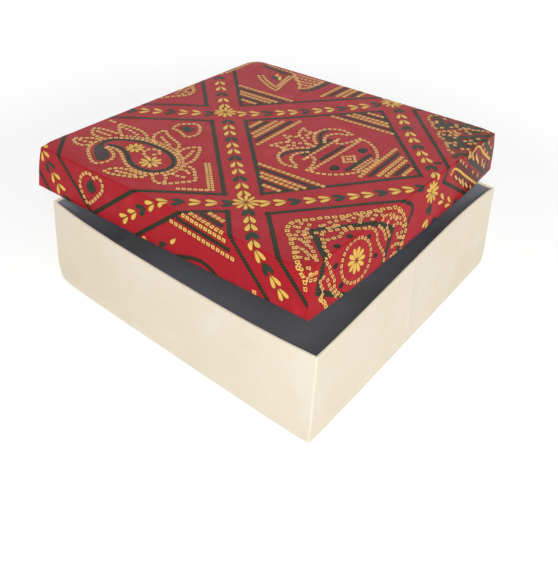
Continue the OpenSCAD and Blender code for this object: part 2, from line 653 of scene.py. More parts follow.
def tray_shell(sizes: BoxSizes) -> Shell:
    """The tray, with its front wall bowed out and its right wall bowed in.

    Args:
        sizes: the box's sizes.

    Returns:
        The shell.
    """
    give = Give(
        sizes.tray_width, sizes.tray_depth, sizes.tray_height,
        top={Corner.FRONT_LEFT: (0.6, 2.4), Corner.FRONT_RIGHT: (-0.2, 0.3),
             Corner.BACK_RIGHT: (-2.0, -2.2), Corner.BACK_LEFT: (0.4, -0.6)},
        foot={Corner.FRONT_LEFT: (-4.0, -1.6), Corner.FRONT_RIGHT: (3.6, -5.2),
              Corner.BACK_RIGHT: (2.6, 1.8), Corner.BACK_LEFT: (-1.0, 0.8)},
        bow_top={Side.FRONT: 5.2, Side.RIGHT: -1.8, Side.BACK: -0.8, Side.LEFT: -1.0},
        bow_foot={Side.FRONT: 1.0, Side.RIGHT: 0.4, Side.BACK: 0.2, Side.LEFT: 0.2},
        skew_top={Side.RIGHT: 1.4},
        knocks=(Knock(Corner.FRONT_LEFT, Level.FOOT, 2.2, 9.0),
                Knock(Corner.FRONT_RIGHT, Level.FOOT, 0.6, 6.0),
                Knock(Corner.BACK_RIGHT, Level.FOOT, 0.8, 6.0),
                Knock(Corner.BACK_LEFT, Level.FOOT, 1.0, 7.0)),
        crease=Crease(-2.0, 0.35, 1.3))
    edges = (Rounding(sizes.tray_height, 0.0, RIM_FOLD),
             Rounding(sizes.tray_height, 2 * sizes.wrap + sizes.board, RIM_INNER_FOLD),
             Rounding(sizes.liner, 0.0, TRAY_FOOT))
    # The extra cuts let the crease rise
    return Shell("tray", give, Matrix.Identity(4), {"base_outer_wrap": edges},
                 extra_cuts=(-4.6, -3.3, -2.6, -1.4, -0.7))


def lid_shell(sizes: BoxSizes) -> Shell:
    """The lid, with its skirt splayed and its top corners rounded by use.

    Args:
        sizes: the box's sizes.

    Returns:
        The shell.
    """
    give = Give(
        sizes.lid_width, sizes.lid_depth, sizes.lid_height,
        top={Corner.FRONT_LEFT: (1.2, 1.0), Corner.FRONT_RIGHT: (-3.4, 0.8),
             Corner.BACK_RIGHT: (-1.8, 3.2), Corner.BACK_LEFT: (3.4, -1.6)},
        foot={Corner.FRONT_LEFT: (-2.4, -2.2), Corner.FRONT_RIGHT: (1.6, -1.6),
              Corner.BACK_RIGHT: (-0.6, 3.8), Corner.BACK_LEFT: (-1.0, 1.2)},
        bow_top={side: 0.4 for side in Side},
        bow_foot={Side.FRONT: 0.6, Side.RIGHT: 3.0, Side.BACK: 0.4, Side.LEFT: 0.4},
        shoulder_drop=0.45,
        knocks=(Knock(Corner.FRONT_LEFT, Level.TOP, 1.2, 8.0),
                Knock(Corner.FRONT_RIGHT, Level.TOP, 1.8, 8.0),
                Knock(Corner.BACK_RIGHT, Level.TOP, 1.0, 8.0),
                Knock(Corner.BACK_LEFT, Level.TOP, 1.2, 6.0)))
    edges = (Rounding(sizes.lid_height, 0.0, LID_FOLD, 4), Rounding(0.0, 0.0, LID_FOOT))
    return Shell("lid", give, sizes.lid_place(), {"lid_printed_wrap": edges})


# Flat print

Point = tuple[float, float]
Line = list[Vector]
Place = tuple[Vector, float]

# Inks lie this far under the paper's surface, and each shape is this much higher than the last
INK_SUNK = 0.04
INK_STEP = 0.0012
INK_STEPS = 6
# Size of the worn patches in an ink, and where their noise starts and ends
WORN_PATCH = (9.0, 0.5, 0.75)


@dataclass(frozen=True)
class Ink:
    """A printing ink: its name, colour, worn colour, and the height of its top over the paper."""

    name: str
    colour: str
    worn: str
    top: float

    def finish(self) -> Paper:
        """The ink's finish, with the gloss of the varnished sheet."""
        return replace(RED_PRINT, name=self.name, colour=self.colour,
                       mottles=(Mottle(self.worn, *WORN_PATCH),))


# Offset inks of the tie-dye style print: the dark grounds lie lowest and the bright dots highest
RUST = Ink("rust_offset_ink", "#8E2A1C", "#98331F", 0.024)
BRICK = Ink("brick_offset_ink", "#602015", "#6C2718", 0.035)
MOSS = Ink("moss_green_offset_ink", "#343624", "#3C3B28", 0.05)
PLUM = Ink("plum_offset_ink", "#4B2C3C", "#553638", 0.057)
PINE = Ink("dark_pine_offset_ink", "#1D2115", "#26291A", 0.065)
LEAF = Ink("leaf_green_offset_ink", "#273A29", "#303F2D", 0.06)
PEACH = Ink("peach_offset_ink", "#F0B46C", "#EAA85C", 0.07)
AMBER = Ink("amber_offset_ink", "#F4BC64", "#EFB05A", 0.07)
YELLOW = Ink("yellow_offset_ink", "#EABC58", "#E3AF4F", 0.075)
INKS = (RUST, BRICK, MOSS, PLUM, PINE, LEAF, PEACH, AMBER, YELLOW)


@dataclass(frozen=True)
class Dot:
    """A square ring of the tie-dye style: its ink, size along and across its line, rim and pitch."""

    ink: Ink
    along: float
    across: float
    rim: float
    pitch: float


DASH = Dot(PEACH, 2.75, 2.4, 0.95, 3.85)
FINE = Dot(PEACH, 2.1, 1.9, 0.8, 3.0)
SQUARE = Dot(PEACH, 2.65, 2.3, 0.76, 4.1)
RING = Dot(AMBER, 3.15, 2.85, 0.88, 4.6)
ROW = Dot(AMBER, 2.8, 2.7, 0.9, 3.88)
BLOCK = Dot(AMBER, 2.9, 3.2, 0.9, 4.0)
# Width of the darker rim round each dot, and round each petal of a flower
DOT_MARGIN = 0.42
PETAL_MARGIN = 0.35
# Size of a flower's open middle, as a share of its radius
FLOWER_EYE = 0.13
# How full a petal's outline is, and how its fullness lies towards the round end
PETAL_BELLY = 1.325
PETAL_TAPER = 1.1
# A green band of ribs: pitch and width of the ribs, how far they pass its edges, its pieces' length
RIB_PITCH, RIB_WIDTH, RIB_OVER, RIB_PIECE = 1.6, 0.75, 0.7, 3.0


def flat(point: Sequence[float]) -> Vector:
    """A point of the sheet as a vector."""
    return Vector((point[0], point[1], 0.0))


def heading(angle: float) -> Vector:
    """The direction at an angle on the sheet."""
    return Vector((math.cos(angle), math.sin(angle), 0.0))


def curve(points: Sequence[Sequence[float]], closed: bool = False, steps: int = 6) -> Line:
    """A smooth line through points.

    Args:
        points: the points, in millimetres on the flat sheet.
        closed: whether the line returns to its first point.
        steps: how many pieces each span gets.

    Returns:
        The line, as a close row of points.
    """
    knots = [flat(p) for p in points]
    if closed:
        ends = [knots[-1], *knots, knots[0], knots[1]]
    else:
        ends = [2 * knots[0] - knots[1], *knots, 2 * knots[-1] - knots[-2]]
    line = []
    for a, b, c, d in zip(ends, ends[1:], ends[2:], ends[3:]):
        for step in range(steps):
            t = step / steps
            line.append((2 * b + (c - a) * t + (2 * a - 5 * b + 4 * c - d) * t * t
                         + (3 * b - a - 3 * c + d) * t ** 3) / 2)
    line.append(line[0].copy() if closed else knots[-1])
    return line


def spaced(line: Line, pitch: float, closed: bool = False) -> list[Place]:
    """Even stations along a line.

    Args:
        line: the line.
        pitch: about how far apart they are.
        closed: whether a last station would fall on the first.

    Returns:
        The place and the direction at each station.
    """
    lengths = [(b - a).length for a, b in zip(line, line[1:])]
    count = max(1, round(sum(lengths) / pitch))
    places, done, span = [], 0.0, 0
    for k in range(count if closed else count + 1):
        wanted = sum(lengths) * k / count
        while span < len(lengths) - 1 and done + lengths[span] < wanted:
            done += lengths[span]
            span += 1
        way = line[span + 1] - line[span]
        share = (wanted - done) / max(lengths[span], WELD_MM)
        places.append((line[span] + way * share, math.atan2(way.y, way.x)))
    return places


def flat_mesh(mesh: bmesh.types.BMesh) -> bpy.types.Mesh:
    """Stores a flat shape, facing up.

    Args:
        mesh: the shape, which is freed.

    Returns:
        The stored shape.
    """
    bmesh.ops.recalc_face_normals(mesh, faces=mesh.faces)
    mesh.normal_update()
    down = [face for face in mesh.faces if face.normal.z < 0]
    bmesh.ops.reverse_faces(mesh, faces=down)
    data = bpy.data.meshes.new("flat_shape")
    mesh.to_mesh(data)
    mesh.free()
    return data


def ring_shape(along: float, across: float, rim: float) -> bpy.types.Mesh:
    """Cuts a square ring.

    Args:
        along: its size along the line.
        across: its size across the line.
        rim: how wide its rim is.

    Returns:
        The flat shape, about the origin.
    """
    mesh = bmesh.new()
    turn = (Matrix.Diagonal((along / 2, across / 2, 1.0, 1.0)) @ Matrix.Rotation(math.pi / 4, 4, "Z")
            @ Matrix.Scale(math.sqrt(2), 4))
    bmesh.ops.create_circle(mesh, cap_ends=True, segments=4, radius=1.0, matrix=turn)
    middle = mesh.faces[:]
    bmesh.ops.inset_individual(mesh, faces=middle, thickness=rim, use_even_offset=True)
    bmesh.ops.delete(mesh, geom=middle, context="FACES_ONLY")
    return flat_mesh(mesh)


def petal_shape(length: float, width: float, grow: float = 0.0, sides: int = 14) -> bpy.types.Mesh:
    """Cuts a teardrop with its sharp tip at the origin and its round end along X.

    Args:
        length: its length.
        width: its greatest width.
        grow: how far it is spread on all sides.
        sides: points round its outline.

    Returns:
        The flat shape.
    """
    mesh = bmesh.new()
    bmesh.ops.create_circle(mesh, cap_ends=True, segments=sides, radius=1.0)
    for vert in mesh.verts:
        turn = math.atan2(vert.co.y, -vert.co.x)
        belly = PETAL_BELLY * math.sin(turn) * abs(math.sin(turn / 2)) ** PETAL_TAPER
        vert.co = Vector((length * (1 - math.cos(turn)) / 2 - grow * math.cos(turn),
                          width / 2 * belly + grow * math.sin(turn), 0.0))
    return flat_mesh(mesh)


def bar_shape(along: float, across: float, slant: float = 0.0) -> bpy.types.Mesh:
    """Cuts a plain bar.

    Args:
        along: its size along the line that it crosses.
        across: its size across that line.
        slant: how far its ends are shifted along the line.

    Returns:
        The flat shape.
    """
    mesh = bmesh.new()
    bmesh.ops.create_grid(mesh, x_segments=1, y_segments=1, size=0.5)
    for vert in mesh.verts:
        vert.co = Vector((vert.co.x * along + 2 * vert.co.y * slant, vert.co.y * across, 0.0))
    return flat_mesh(mesh)


class Film:
    """One ink's shapes, laid flat on the sheet."""

    def __init__(self, ink: Ink) -> None:
        """Starts an empty film.

        Args:
            ink: the film's ink.
        """
        self.ink = ink
        self.shapes = bmesh.new()
        self.laid = 0

    def stamp(self, shape: bpy.types.Mesh, places: Iterable[Place]) -> None:
        """Lays a flat shape at each place, and removes it.

        Each copy lies a hair higher than the last, so that no two that cross lie in one plane.

        Args:
            shape: the flat shape.
            places: where, and turned how far.
        """
        sheet = bmesh.new()
        for at, angle in places:
            self.laid += 1
            count = len(sheet.verts)
            sheet.from_mesh(shape)
            sheet.verts.ensure_lookup_table()
            place = Matrix.Translation(at) @ Matrix.Rotation(angle, 4, "Z")
            lift = Vector((0.0, 0.0, INK_STEP * (self.laid % INK_STEPS)))
            for vert in sheet.verts[count:]:
                vert.co = place @ vert.co + lift
        data = bpy.data.meshes.new("stamped")
        sheet.to_mesh(data)
        sheet.free()
        self.shapes.from_mesh(data)
        bpy.data.meshes.remove(data)
        bpy.data.meshes.remove(shape)

    def place(self, shape: bpy.types.Mesh) -> None:
        """Lays a shape that is already in its place, and removes it."""
        self.stamp(shape, [(Vector(), 0.0)])

    def rings(self, places: Iterable[Place], dot: Dot) -> None:
        """Prints square rings of a kind at places."""
        self.stamp(ring_shape(dot.along, dot.across, dot.rim), places)

    def petals(self, places: Iterable[Place], length: float, width: float, grow: float = 0.0) -> None:
        """Prints teardrops with their tips at places."""
        self.stamp(petal_shape(length, width, grow), places)

    def bars(self, places: Iterable[Place], along: float, across: float, slant: float = 0.0) -> None:
        """Prints plain bars at places."""
        self.stamp(bar_shape(along, across, slant), places)

    def strip(self, line: Line, width: float, pitch: float = 2.5) -> None:
        """Prints a line of even width.

        Args:
            line: its course.
            width: its width.
            pitch: about how long its pieces are.
        """
        course = spaced(line, pitch)
        pieces = len(course) - 1
        mesh = bmesh.new()
        bmesh.ops.create_grid(mesh, x_segments=pieces, y_segments=1, size=1.0)
        for vert in mesh.verts:
            at, angle = course[round((vert.co.x + 1) / 2 * pieces)]
            vert.co = at + heading(angle + math.pi / 2) * math.copysign(width / 2, vert.co.y)
        self.place(flat_mesh(mesh))

    def fill(self, outline: Line) -> None:
        """Prints a filled shape.

        Args:
            outline: its closed outline, with the last point on the first.
        """
        mesh = bmesh.new()
        made = bmesh.ops.create_circle(mesh, cap_ends=True, segments=len(outline) - 1, radius=1.0)
        for vert, point in zip(made["verts"], outline):
            vert.co = point
        mesh.normal_update()
        bmesh.ops.triangulate(mesh, faces=mesh.faces)
        self.place(flat_mesh(mesh))


@dataclass(frozen=True)
class FoldedSheet:
    """How the flat printed sheet folds over the lid. Its middle is the middle of the lid's top."""

    half: float
    height: float
    fold: float
    foot: float
    corner: float
    edge: float
    fold_parts: int = 4
    foot_parts: int = 3

    @property
    def flat(self) -> float:
        """Where the top ends and the fold begins."""
        return self.half - self.fold

    @property
    def skirt(self) -> float:
        """Where the fold ends and the skirt begins."""
        return self.flat + self.fold * math.pi / 2

    @property
    def low(self) -> float:
        """Where the skirt ends and its lower fold begins."""
        return self.skirt + self.height - self.fold - self.foot

    @property
    def under(self) -> float:
        """Where the lower fold ends and the underside begins."""
        return self.low + self.foot * math.pi / 2

    @property
    def limit(self) -> float:
        """Where the print ends, under the skirt's lower edge."""
        return self.under + self.edge

    @property
    def upright(self) -> float:
        """Where the skirt's upright corner begins."""
        return self.half - self.corner

    @property
    def side_limit(self) -> float:
        """Where a skirt's print meets its neighbour's, in the middle of the corner's curve."""
        return self.upright + self.corner * math.pi / 4

    def cuts(self) -> list[float]:
        """Distances from the middle at which the films are cut, so that they can fold.

        Returns:
            The distances.
        """
        folds = [self.flat + (self.skirt - self.flat) * k / self.fold_parts
                 for k in range(self.fold_parts + 1)]
        feet = [self.low + (self.under - self.low) * k / self.foot_parts
                for k in range(self.foot_parts + 1)]
        sides = [self.upright, (self.upright + self.side_limit) / 2, self.side_limit]
        return [*folds, *feet, *sides]

    def across(self, run: float, lift: float) -> tuple[float, float]:
        """Goes over the edge of the lid.

        Args:
            run: distance from the sheet's middle.
            lift: height over the paper.

        Returns:
            The distance out from the lid's middle, and the height.
        """
        if run <= self.flat:
            return run, self.height + lift
        if run <= self.skirt:
            turn = (run - self.flat) / self.fold
            reach = self.fold + lift
            return self.flat + reach * math.sin(turn), self.height - self.fold + reach * math.cos(turn)
        if run <= self.low:
            return self.half + lift, self.height - self.fold - (run - self.skirt)
        if run <= self.under:
            turn = (run - self.low) / self.foot
            reach = self.foot + lift
            return self.half - self.foot + reach * math.cos(turn), self.foot - reach * math.sin(turn)
        return self.half - self.foot - (run - self.under), -lift

    def place(self, s: float, t: float, lift: float) -> Vector:
        """Folds a point of the flat sheet onto the lid.

        Args:
            s: distance to the right of the middle.
            t: distance to the back of the middle.
            lift: height over the paper.

        Returns:
            The point in the lid's level frame.
        """
        sideways = abs(s) > abs(t)
        run, along = (s, t) if sideways else (t, s)
        out, up = self.across(abs(run), lift)
        if abs(run) > self.flat and abs(along) > self.upright:
            turn = (abs(along) - self.upright) / self.corner
            reach = out - self.upright
            out = self.upright + reach * math.cos(turn)
            along = math.copysign(self.upright + reach * math.sin(turn), along)
        out = math.copysign(out, run)
        return Vector((out, along, up)) if sideways else Vector((along, out, up))

    def kept(self, s: float, t: float) -> bool:
        """Whether a bit of the flat sheet shows on the folded lid."""
        far, near = max(abs(s), abs(t)), min(abs(s), abs(t))
        return near <= self.upright or (far > self.skirt and near <= self.side_limit)

    def fold_film(self, film: bmesh.types.BMesh, top: float) -> None:
        """Trims a flat film, gives it its thickness and folds it onto the lid.

        Args:
            film: the flat shapes.
            top: height of the film's top over the paper.
        """
        for way in (Vector((1, 0, 0)), Vector((-1, 0, 0)), Vector((0, 1, 0)), Vector((0, -1, 0))):
            for cut in (self.limit, *self.cuts()):
                bmesh.ops.bisect_plane(film, geom=film.verts[:] + film.edges[:] + film.faces[:],
                                       dist=FILM_CUT, plane_co=way * cut, plane_no=way,
                                       clear_outer=cut == self.limit)
        lost = [face for face in film.faces if not self.kept(*face.calc_center_median().xy)]
        bmesh.ops.delete(film, geom=lost, context="FACES")
        risen = bmesh.ops.extrude_face_region(film, geom=film.faces[:])["geom"]
        upper = {part for part in risen if isinstance(part, bmesh.types.BMVert)}
        for vert in film.verts:
            lift = top + vert.co.z if vert in upper else -INK_SUNK
            vert.co = self.place(vert.co.x, vert.co.y, lift)
        bmesh.ops.recalc_face_normals(film, faces=film.faces)


@dataclass(frozen=True)
class Band:
    """A run of leaf pairs: its ends, how many, the first green one, which way the tips point.

    Then how far the leaves spread in degrees, the pitch of the pairs, where they start, and how far
    the run bows to its left.
    """

    start: Point
    end: Point
    pairs: int
    green: int
    outwards: bool
    spread: float
    pitch: float
    lead: float
    bow: float


@dataclass
class Lattice:
    """The diagonal lattice: its crossings, the twisted lines that frame its cells, and its leaves."""

    crossings: tuple[Point, ...] = ((-57.2, 11.4), (42.0, -82.1), (28.7, 113.4), (125.0, 21.5))
    frames: tuple[tuple[Point, ...], ...] = (
        ((-36, 10), (43, -67), (107, 21), (31, 94), (-36, 10)),
        ((-54.5, -6.8), (25.6, -83.4), (-20.9, -116.4), (-70, -158)),
        ((-54.5, -6.8), (-138.4, -69), (-93, -118.5), (-60, -152.5)),
        ((-22, -152.7), (40.5, -97.5), (100, -159)),
        ((-156, 128), (-56.5, 29.5), (12, 113), (48, 157)),
        ((60.5, -83.5), (120, -8.5)), ((129, -6), (160, -36)), ((60.5, -83.5), (137, -158)),
        ((84, 157), (48.7, 113.1), (113, 46.9), (123.9, 37.2), (153, 77.5)),
        ((-156, 88), (-76, 11), (-117, -20), (-156, -50)),
        ((-126, -126), (-101, -156)), ((177, 58), (148, 23), (172, -5)), ((16, 157), (29, 135), (46, 157)))
    bands: tuple[Band, ...] = (
        Band((-56.8, 11.8), (42.1, -82.0), 12, 1, False, 22, 9.83, 6.9, -0.9),
        Band((30.6, 115.2), (124.8, 20.3), 12, 1, False, 19, 10.43, 4.5, -3.0),
        Band((42.3, -81.8), (137.6, -178.5), 9, 1, False, 17, 8.71, 2.5, 0.2),
        Band((127.8, 23.5), (226.4, -67.7), 4, 1, False, 16, 10.70, 0.2, 9.4),
        Band((-56.7, 11.9), (-153.5, 107.9), 9, 0, True, 21, 11.80, 0.2, 1.2),
        Band((28.7, 113.4), (-67.4, 210.2), 6, 0, True, 37, 9.43, -7.7, -0.6),
        Band((-55.4, 10.0), (28.4, 113.7), 12, 0, True, 24, 9.80, 2.5, -5.6),
        Band((43.1, -82.9), (125.8, 24.6), 12, 0, True, 18, 9.53, 2.0, -4.4),
        Band((28.6, 113.5), (107.2, 221.3), 6, 0, True, 24, 8.59, -4.2, 6.3),
        Band((128.7, 22.3), (209.3, 133.5), 4, 0, True, 22, 12.48, 2.7, 0.5),
        Band((-55.2, 8.7), (-163.1, -70.8), 12, 1, False, 25, 9.79, 1.8, -0.3),
        Band((43.2, -83.6), (-61.0, -167.9), 9, 1, False, 18, 10.23, 0.3, -1.6),
        Band((-150.5, -74.5), (-80.5, -166.0), 11, 1, False, 31, 8.84, 8.6, 3.3))
    leaf_length: float = 8.3
    leaf_width: float = 3.15
    leaf_rim: float = 0.45
    tip_gap: float = 0.55
    reach: float = 3.7
    green_swell: float = 1.25
    green_every: int = 3
    rope_width: float = 3.0
    rope_over: float = 0.45
    straight_piece: float = 6.0
    bent_piece: float = 1.5
    tick_pitch: float = 2.1
    tick_width: float = 0.85
    tick_over: float = 0.25
    tick_slant: float = 0.6
    # The one line of the frames that is bent
    bend: tuple[Point, ...] = ((120, -8.5), (124.5, -4.2), (129, -6))
    flower_petals: int = 10
    flower_radius: float = 8.8
    flower_petal: float = 2.5
    flower_turn: float = 0.35

    def print_on(self, films: dict[Ink, Film]) -> None:
        """Prints the lattice.

        Args:
            films: the inks' films.
        """
        for corners in self.frames:
            for a, b in zip(corners, corners[1:]):
                self.rope(films, flat(a), flat(b))
        self.rope(films, *curve(self.bend, steps=2))
        for band in self.bands:
            self.garland(films, band)
        for at in self.crossings:
            print_flower(films, at, self.flower_petals, self.flower_radius, self.flower_petal,
                         self.flower_turn)

    def rope(self, films: dict[Ink, Film], *points: Vector) -> None:
        """Prints a twisted green line.

        Args:
            films: the inks' films.
            points: its course.
        """
        over = (points[-1] - points[0]).normalized() * self.rope_over * self.rope_width
        line = [points[0] - over, *points[1:-1], points[-1] + over]
        films[MOSS].strip(line, self.rope_width,
                          self.straight_piece if len(points) == 2 else self.bent_piece)
        films[PINE].bars(spaced(line, self.tick_pitch)[:-1], self.tick_width,
                         self.rope_width + self.tick_over, self.tick_slant)

    def garland(self, films: dict[Ink, Film], band: Band) -> None:
        """Prints the leaf pairs of a band.

        Args:
            films: the inks' films.
            band: the band.
        """
        start = flat(band.start)
        length = (flat(band.end) - start).length
        way = (flat(band.end) - start).normalized()
        side = Vector((-way.y, way.x, 0.0))
        back = math.atan2(way.y, way.x) + (math.pi if band.outwards else 0.0)
        leaves: dict[bool, list[Place]] = {True: [], False: []}
        for k in range(1, band.pairs + 1):
            reach = self.reach if band.outwards else -self.reach
            run = band.lead + band.pitch * k + reach
            share = max(0.0, min(1.0, run / length))
            tip = start + way * run + side * band.bow * 4 * share * (1 - share)
            for hand in (-1, 1):
                turn = hand if not band.outwards else -hand
                leaves[k % self.green_every == band.green].append(
                    (tip + side * self.tip_gap * hand, back + turn * math.radians(band.spread)))
        for green, places in leaves.items():
            films[BRICK].petals(places, self.leaf_length, self.leaf_width, self.leaf_rim)
            width = self.leaf_width * (self.green_swell if green else 1.0)
            films[LEAF if green else YELLOW].petals(places, self.leaf_length, width)


def print_flower(films: dict[Ink, Film], at: Point, petals: int, radius: float, width: float,
                 turn: float = 0.0, stretch: float = 1.0) -> None:
    """Prints a flower of yellow petals.

    Args:
        films: the inks' films.
        at: its middle.
        petals: how many.
        radius: how far they reach.
        width: width of a petal.
        turn: the first petal's direction.
        stretch: how much taller than wide it is.
    """
    for k in range(petals):
        way = heading(turn + 2 * math.pi * k / petals)
        way.y *= stretch
        place = [(flat(at) + way * FLOWER_EYE * radius, math.atan2(way.y, way.x))]
        length = radius * (1 - FLOWER_EYE) * way.length
        films[BRICK].petals(place, length, width, PETAL_MARGIN)
        films[YELLOW].petals(place, length, width)


def print_squares(films: dict[Ink, Film], places: list[Place], dot: Dot) -> None:
    """Prints dots at places, each with a darker rim."""
    films[dot.ink].rings(places, dot)
    films[BRICK].bars(places, dot.along + 2 * DOT_MARGIN, dot.across + 2 * DOT_MARGIN)


def print_spot(films: dict[Ink, Film], outline: Sequence[Point]) -> None:
    """Prints a filled dark spot."""
    films[PINE].fill(curve(outline, closed=True, steps=2))


def round_outline(at: Point, wide: float, high: float, sides: int) -> list[Point]:
    """The outline of a round spot: its middle, its half width and height, and its points."""
    turns = [2 * math.pi * k / sides for k in range(sides)]
    return [(at[0] + wide * math.cos(turn), at[1] + high * math.sin(turn)) for turn in turns]


def print_dots(films: dict[Ink, Film], line: Line, dot: Dot = DASH, closed: bool = False) -> None:
    """Prints a dotted line, each dot with a darker rim.

    Args:
        films: the inks' films.
        line: its course.
        dot: its dots.
        closed: whether it closes on itself.
    """
    print_squares(films, spaced(line, dot.pitch, closed), dot)


def print_ribs(films: dict[Ink, Film], line: Line, width: float = 2.7) -> None:
    """Prints a green band of short ribs."""
    films[MOSS].strip(line, width, RIB_PIECE)
    films[PINE].bars(spaced(line, RIB_PITCH), RIB_WIDTH, width + RIB_OVER)


@dataclass
class Fan:
    """The rows that fill a cell's corner: the corner, the way into the cell, and their length."""

    apex: Point
    away: Point
    rows: tuple[tuple[float, float, Dot | None], ...] = (
        (9.5, 5.5, ROW), (13.6, 10.0, None), (18.0, 13.5, ROW), (22.3, 16.5, ROW),
        (27.0, 21.5, None), (31.7, 25.0, ROW))

    def print_on(self, films: dict[Ink, Film]) -> None:
        """Prints the rows.

        Args:
            films: the inks' films.
        """
        way = flat(self.away).normalized()
        side = Vector((-way.y, way.x, 0.0))
        for distance, half, dot in self.rows:
            middle = flat(self.apex) + way * distance
            line = [middle - side * half, middle + side * half]
            if dot:
                print_dots(films, line, dot)
            else:
                print_ribs(films, line)


@dataclass
class Paisley:
    """The large paisley of the left cell: its dark band, curl, dotted outline, leaves and flowers."""

    body: tuple[Point, ...] = (
        (-84.5, -88.5), (-86.5, -82), (-83.5, -75.5), (-77.5, -70.5), (-69, -66.5), (-59, -64.7),
        (-48, -64.8), (-39, -66.6), (-32, -70.2), (-27, -75.5), (-25.2, -81.5), (-26.6, -87.5),
        (-31.5, -92.2), (-38.9, -94.2), (-46, -93.5), (-53.5, -90.3), (-60, -85.9), (-67, -82.6),
        (-75.3, -82.2), (-81.5, -84.6))
    curl: tuple[Point, ...] = (
        (-87.4, -85), (-86, -91.5), (-81.6, -96.8), (-76.4, -100.6), (-71, -103.9), (-67.4, -104),
        (-65.6, -101), (-66, -97.2), (-69, -93.8), (-73, -91.4), (-78, -89.4), (-82, -87.4),
        (-84.5, -84.4))
    heart: tuple[Point, ...] = (
        (-81, -93.4), (-78, -97), (-73.6, -100), (-69.4, -101.4), (-68.4, -99), (-70.6, -95.8),
        (-75, -93.2), (-79, -92))
    outline: tuple[Point, ...] = (
        (-90.7, -87), (-90.2, -80.5), (-87.4, -75.3), (-82.5, -71.2), (-77.5, -67.6), (-71.5, -64.2),
        (-65.5, -62.3), (-56, -61.3), (-46, -61.6), (-38, -63.4), (-31.5, -66.4), (-26, -70.7),
        (-22.4, -76), (-21.7, -82), (-23, -88), (-26.5, -92.8), (-32, -96.2), (-39, -97.8),
        (-46, -97.3), (-53, -94.4), (-59.5, -90.6), (-66, -86.8), (-72, -85.2), (-78, -86.2),
        (-80, -88), (-75, -88.4), (-69.5, -90.4), (-65, -93.8), (-62.8, -98), (-63, -102.5),
        (-65, -106.6), (-68.2, -108.2), (-73, -106.6), (-79.5, -102.8), (-85, -98.8), (-88.9, -93.6))
    leaves: tuple[tuple[Point, ...], ...] = (
        ((-69, -58.5), (-73, -56), (-79, -54), (-86, -53.6), (-93, -54.5), (-100.5, -56),
         (-96, -60.5), (-91, -64.5), (-86, -67.3)),
        ((-91, -68), (-98, -68.8), (-104, -70), (-108.8, -72.7), (-105, -78), (-100, -80.5), (-93, -80)),
        ((-94, -83), (-98, -85), (-102, -88.5), (-106.2, -93.3), (-100, -97), (-94.5, -96.5),
         (-91.5, -93.8)),
        ((-60.5, -60), (-65, -56.5), (-68.8, -51), (-69, -45.5), (-68.3, -41.8), (-62, -45.3),
         (-55, -48), (-48, -50), (-43.2, -52.8), (-40.5, -58)),
        ((-35.5, -62), (-37.2, -58), (-37, -53), (-34.5, -48.7), (-30.6, -45.6), (-27, -50),
         (-24, -55), (-21.4, -60), (-20.4, -65.5), (-21, -69)),
        ((-19.5, -72.5), (-15, -71), (-10.5, -72.7), (-6.5, -76.3), (-0.8, -82), (-3.8, -87.4),
         (-7.6, -92.4), (-11.8, -97.6), (-17.1, -100.2), (-22, -98.6), (-26, -95.4)),
        ((-29.5, -98.4), (-36, -99.8), (-43, -100.4), (-48.5, -102), (-52.8, -106), (-54, -111.2),
         (-48.5, -111.2), (-41.5, -108.7), (-35, -105.6), (-29.6, -101.6)))
    veins: tuple[tuple[Point, ...], ...] = (
        ((-95, -58), (-86, -58.5), (-78, -60)), ((-103, -74.5), (-97, -74.3), (-92, -73.6)),
        ((-101.5, -92), (-96.5, -91), (-93, -89.6)), ((-61.5, -51.5), (-56, -54), (-50, -56)),
        ((-30.3, -53), (-28.5, -58.5), (-27.4, -64)), ((-17.5, -77), (-14, -76.4), (-10.8, -77.6)),
        ((-17.5, -85.4), (-13.5, -85.2), (-9.6, -84)), ((-20, -89.8), (-16.8, -92.6), (-14.4, -96)),
        ((-48, -106.4), (-41, -104.6), (-35, -102.6)), ((-110, -56), (-106, -56.2)))
    outer_row: tuple[Point, ...] = (
        (-84.5, -68.3), (-78.5, -64.3), (-71, -61), (-62, -59), (-50, -58.3), (-41, -59.4),
        (-33.5, -62.2), (-27, -66.4), (-21.8, -71.5), (-19, -77.5), (-18.6, -84), (-20.6, -90))
    bud: tuple[Point, ...] = (
        (-48.5, -79.5), (-53.5, -77), (-55.4, -72.4), (-52.6, -68.6), (-48.2, -67.6), (-45.2, -70.2),
        (-46.4, -74))
    band: float = 3.4
    band_middle: float = 1.6
    piece: float = 1.6
    # Each flower's middle, petals, radius, petal width and turn
    flowers: tuple[tuple[Point, int, float, float, float], ...] = (
        ((-63.5, -75.4), 9, 6.8, 2.4, 0.2), ((-40.4, -83.2), 9, 8.0, 2.7, 0.5))
    # Straight rows towards the cell's right corner
    corner_rows: tuple[tuple[tuple[Point, ...], Dot], ...] = (
        (((-9.4, -59.2), (16.3, -83.8)), FINE), (((-11.2, -60.8), (14.2, -85.2)), FINE),
        (((13.4, -86.6), (-1.4, -97.2)), DASH))

    def print_on(self, films: dict[Ink, Film]) -> None:
        """Prints the paisley.

        Args:
            films: the inks' films.
        """
        films[MOSS].strip(curve(self.body), self.band, self.piece)
        films[PINE].strip(curve(self.body), self.band_middle, self.piece)
        films[MOSS].fill(curve(self.curl, closed=True, steps=3))
        films[PLUM].fill(curve(self.heart, closed=True, steps=3))
        print_dots(films, curve(self.outline, closed=True), closed=True)
        print_dots(films, curve(self.outer_row), FINE)
        for line in (*self.leaves, *self.veins):
            print_dots(films, curve(line))
        print_dots(films, curve(self.bud))
        for flower in self.flowers:
            print_flower(films, *flower)
        for line, dot in self.corner_rows:
            print_dots(films, [flat(p) for p in line], dot)


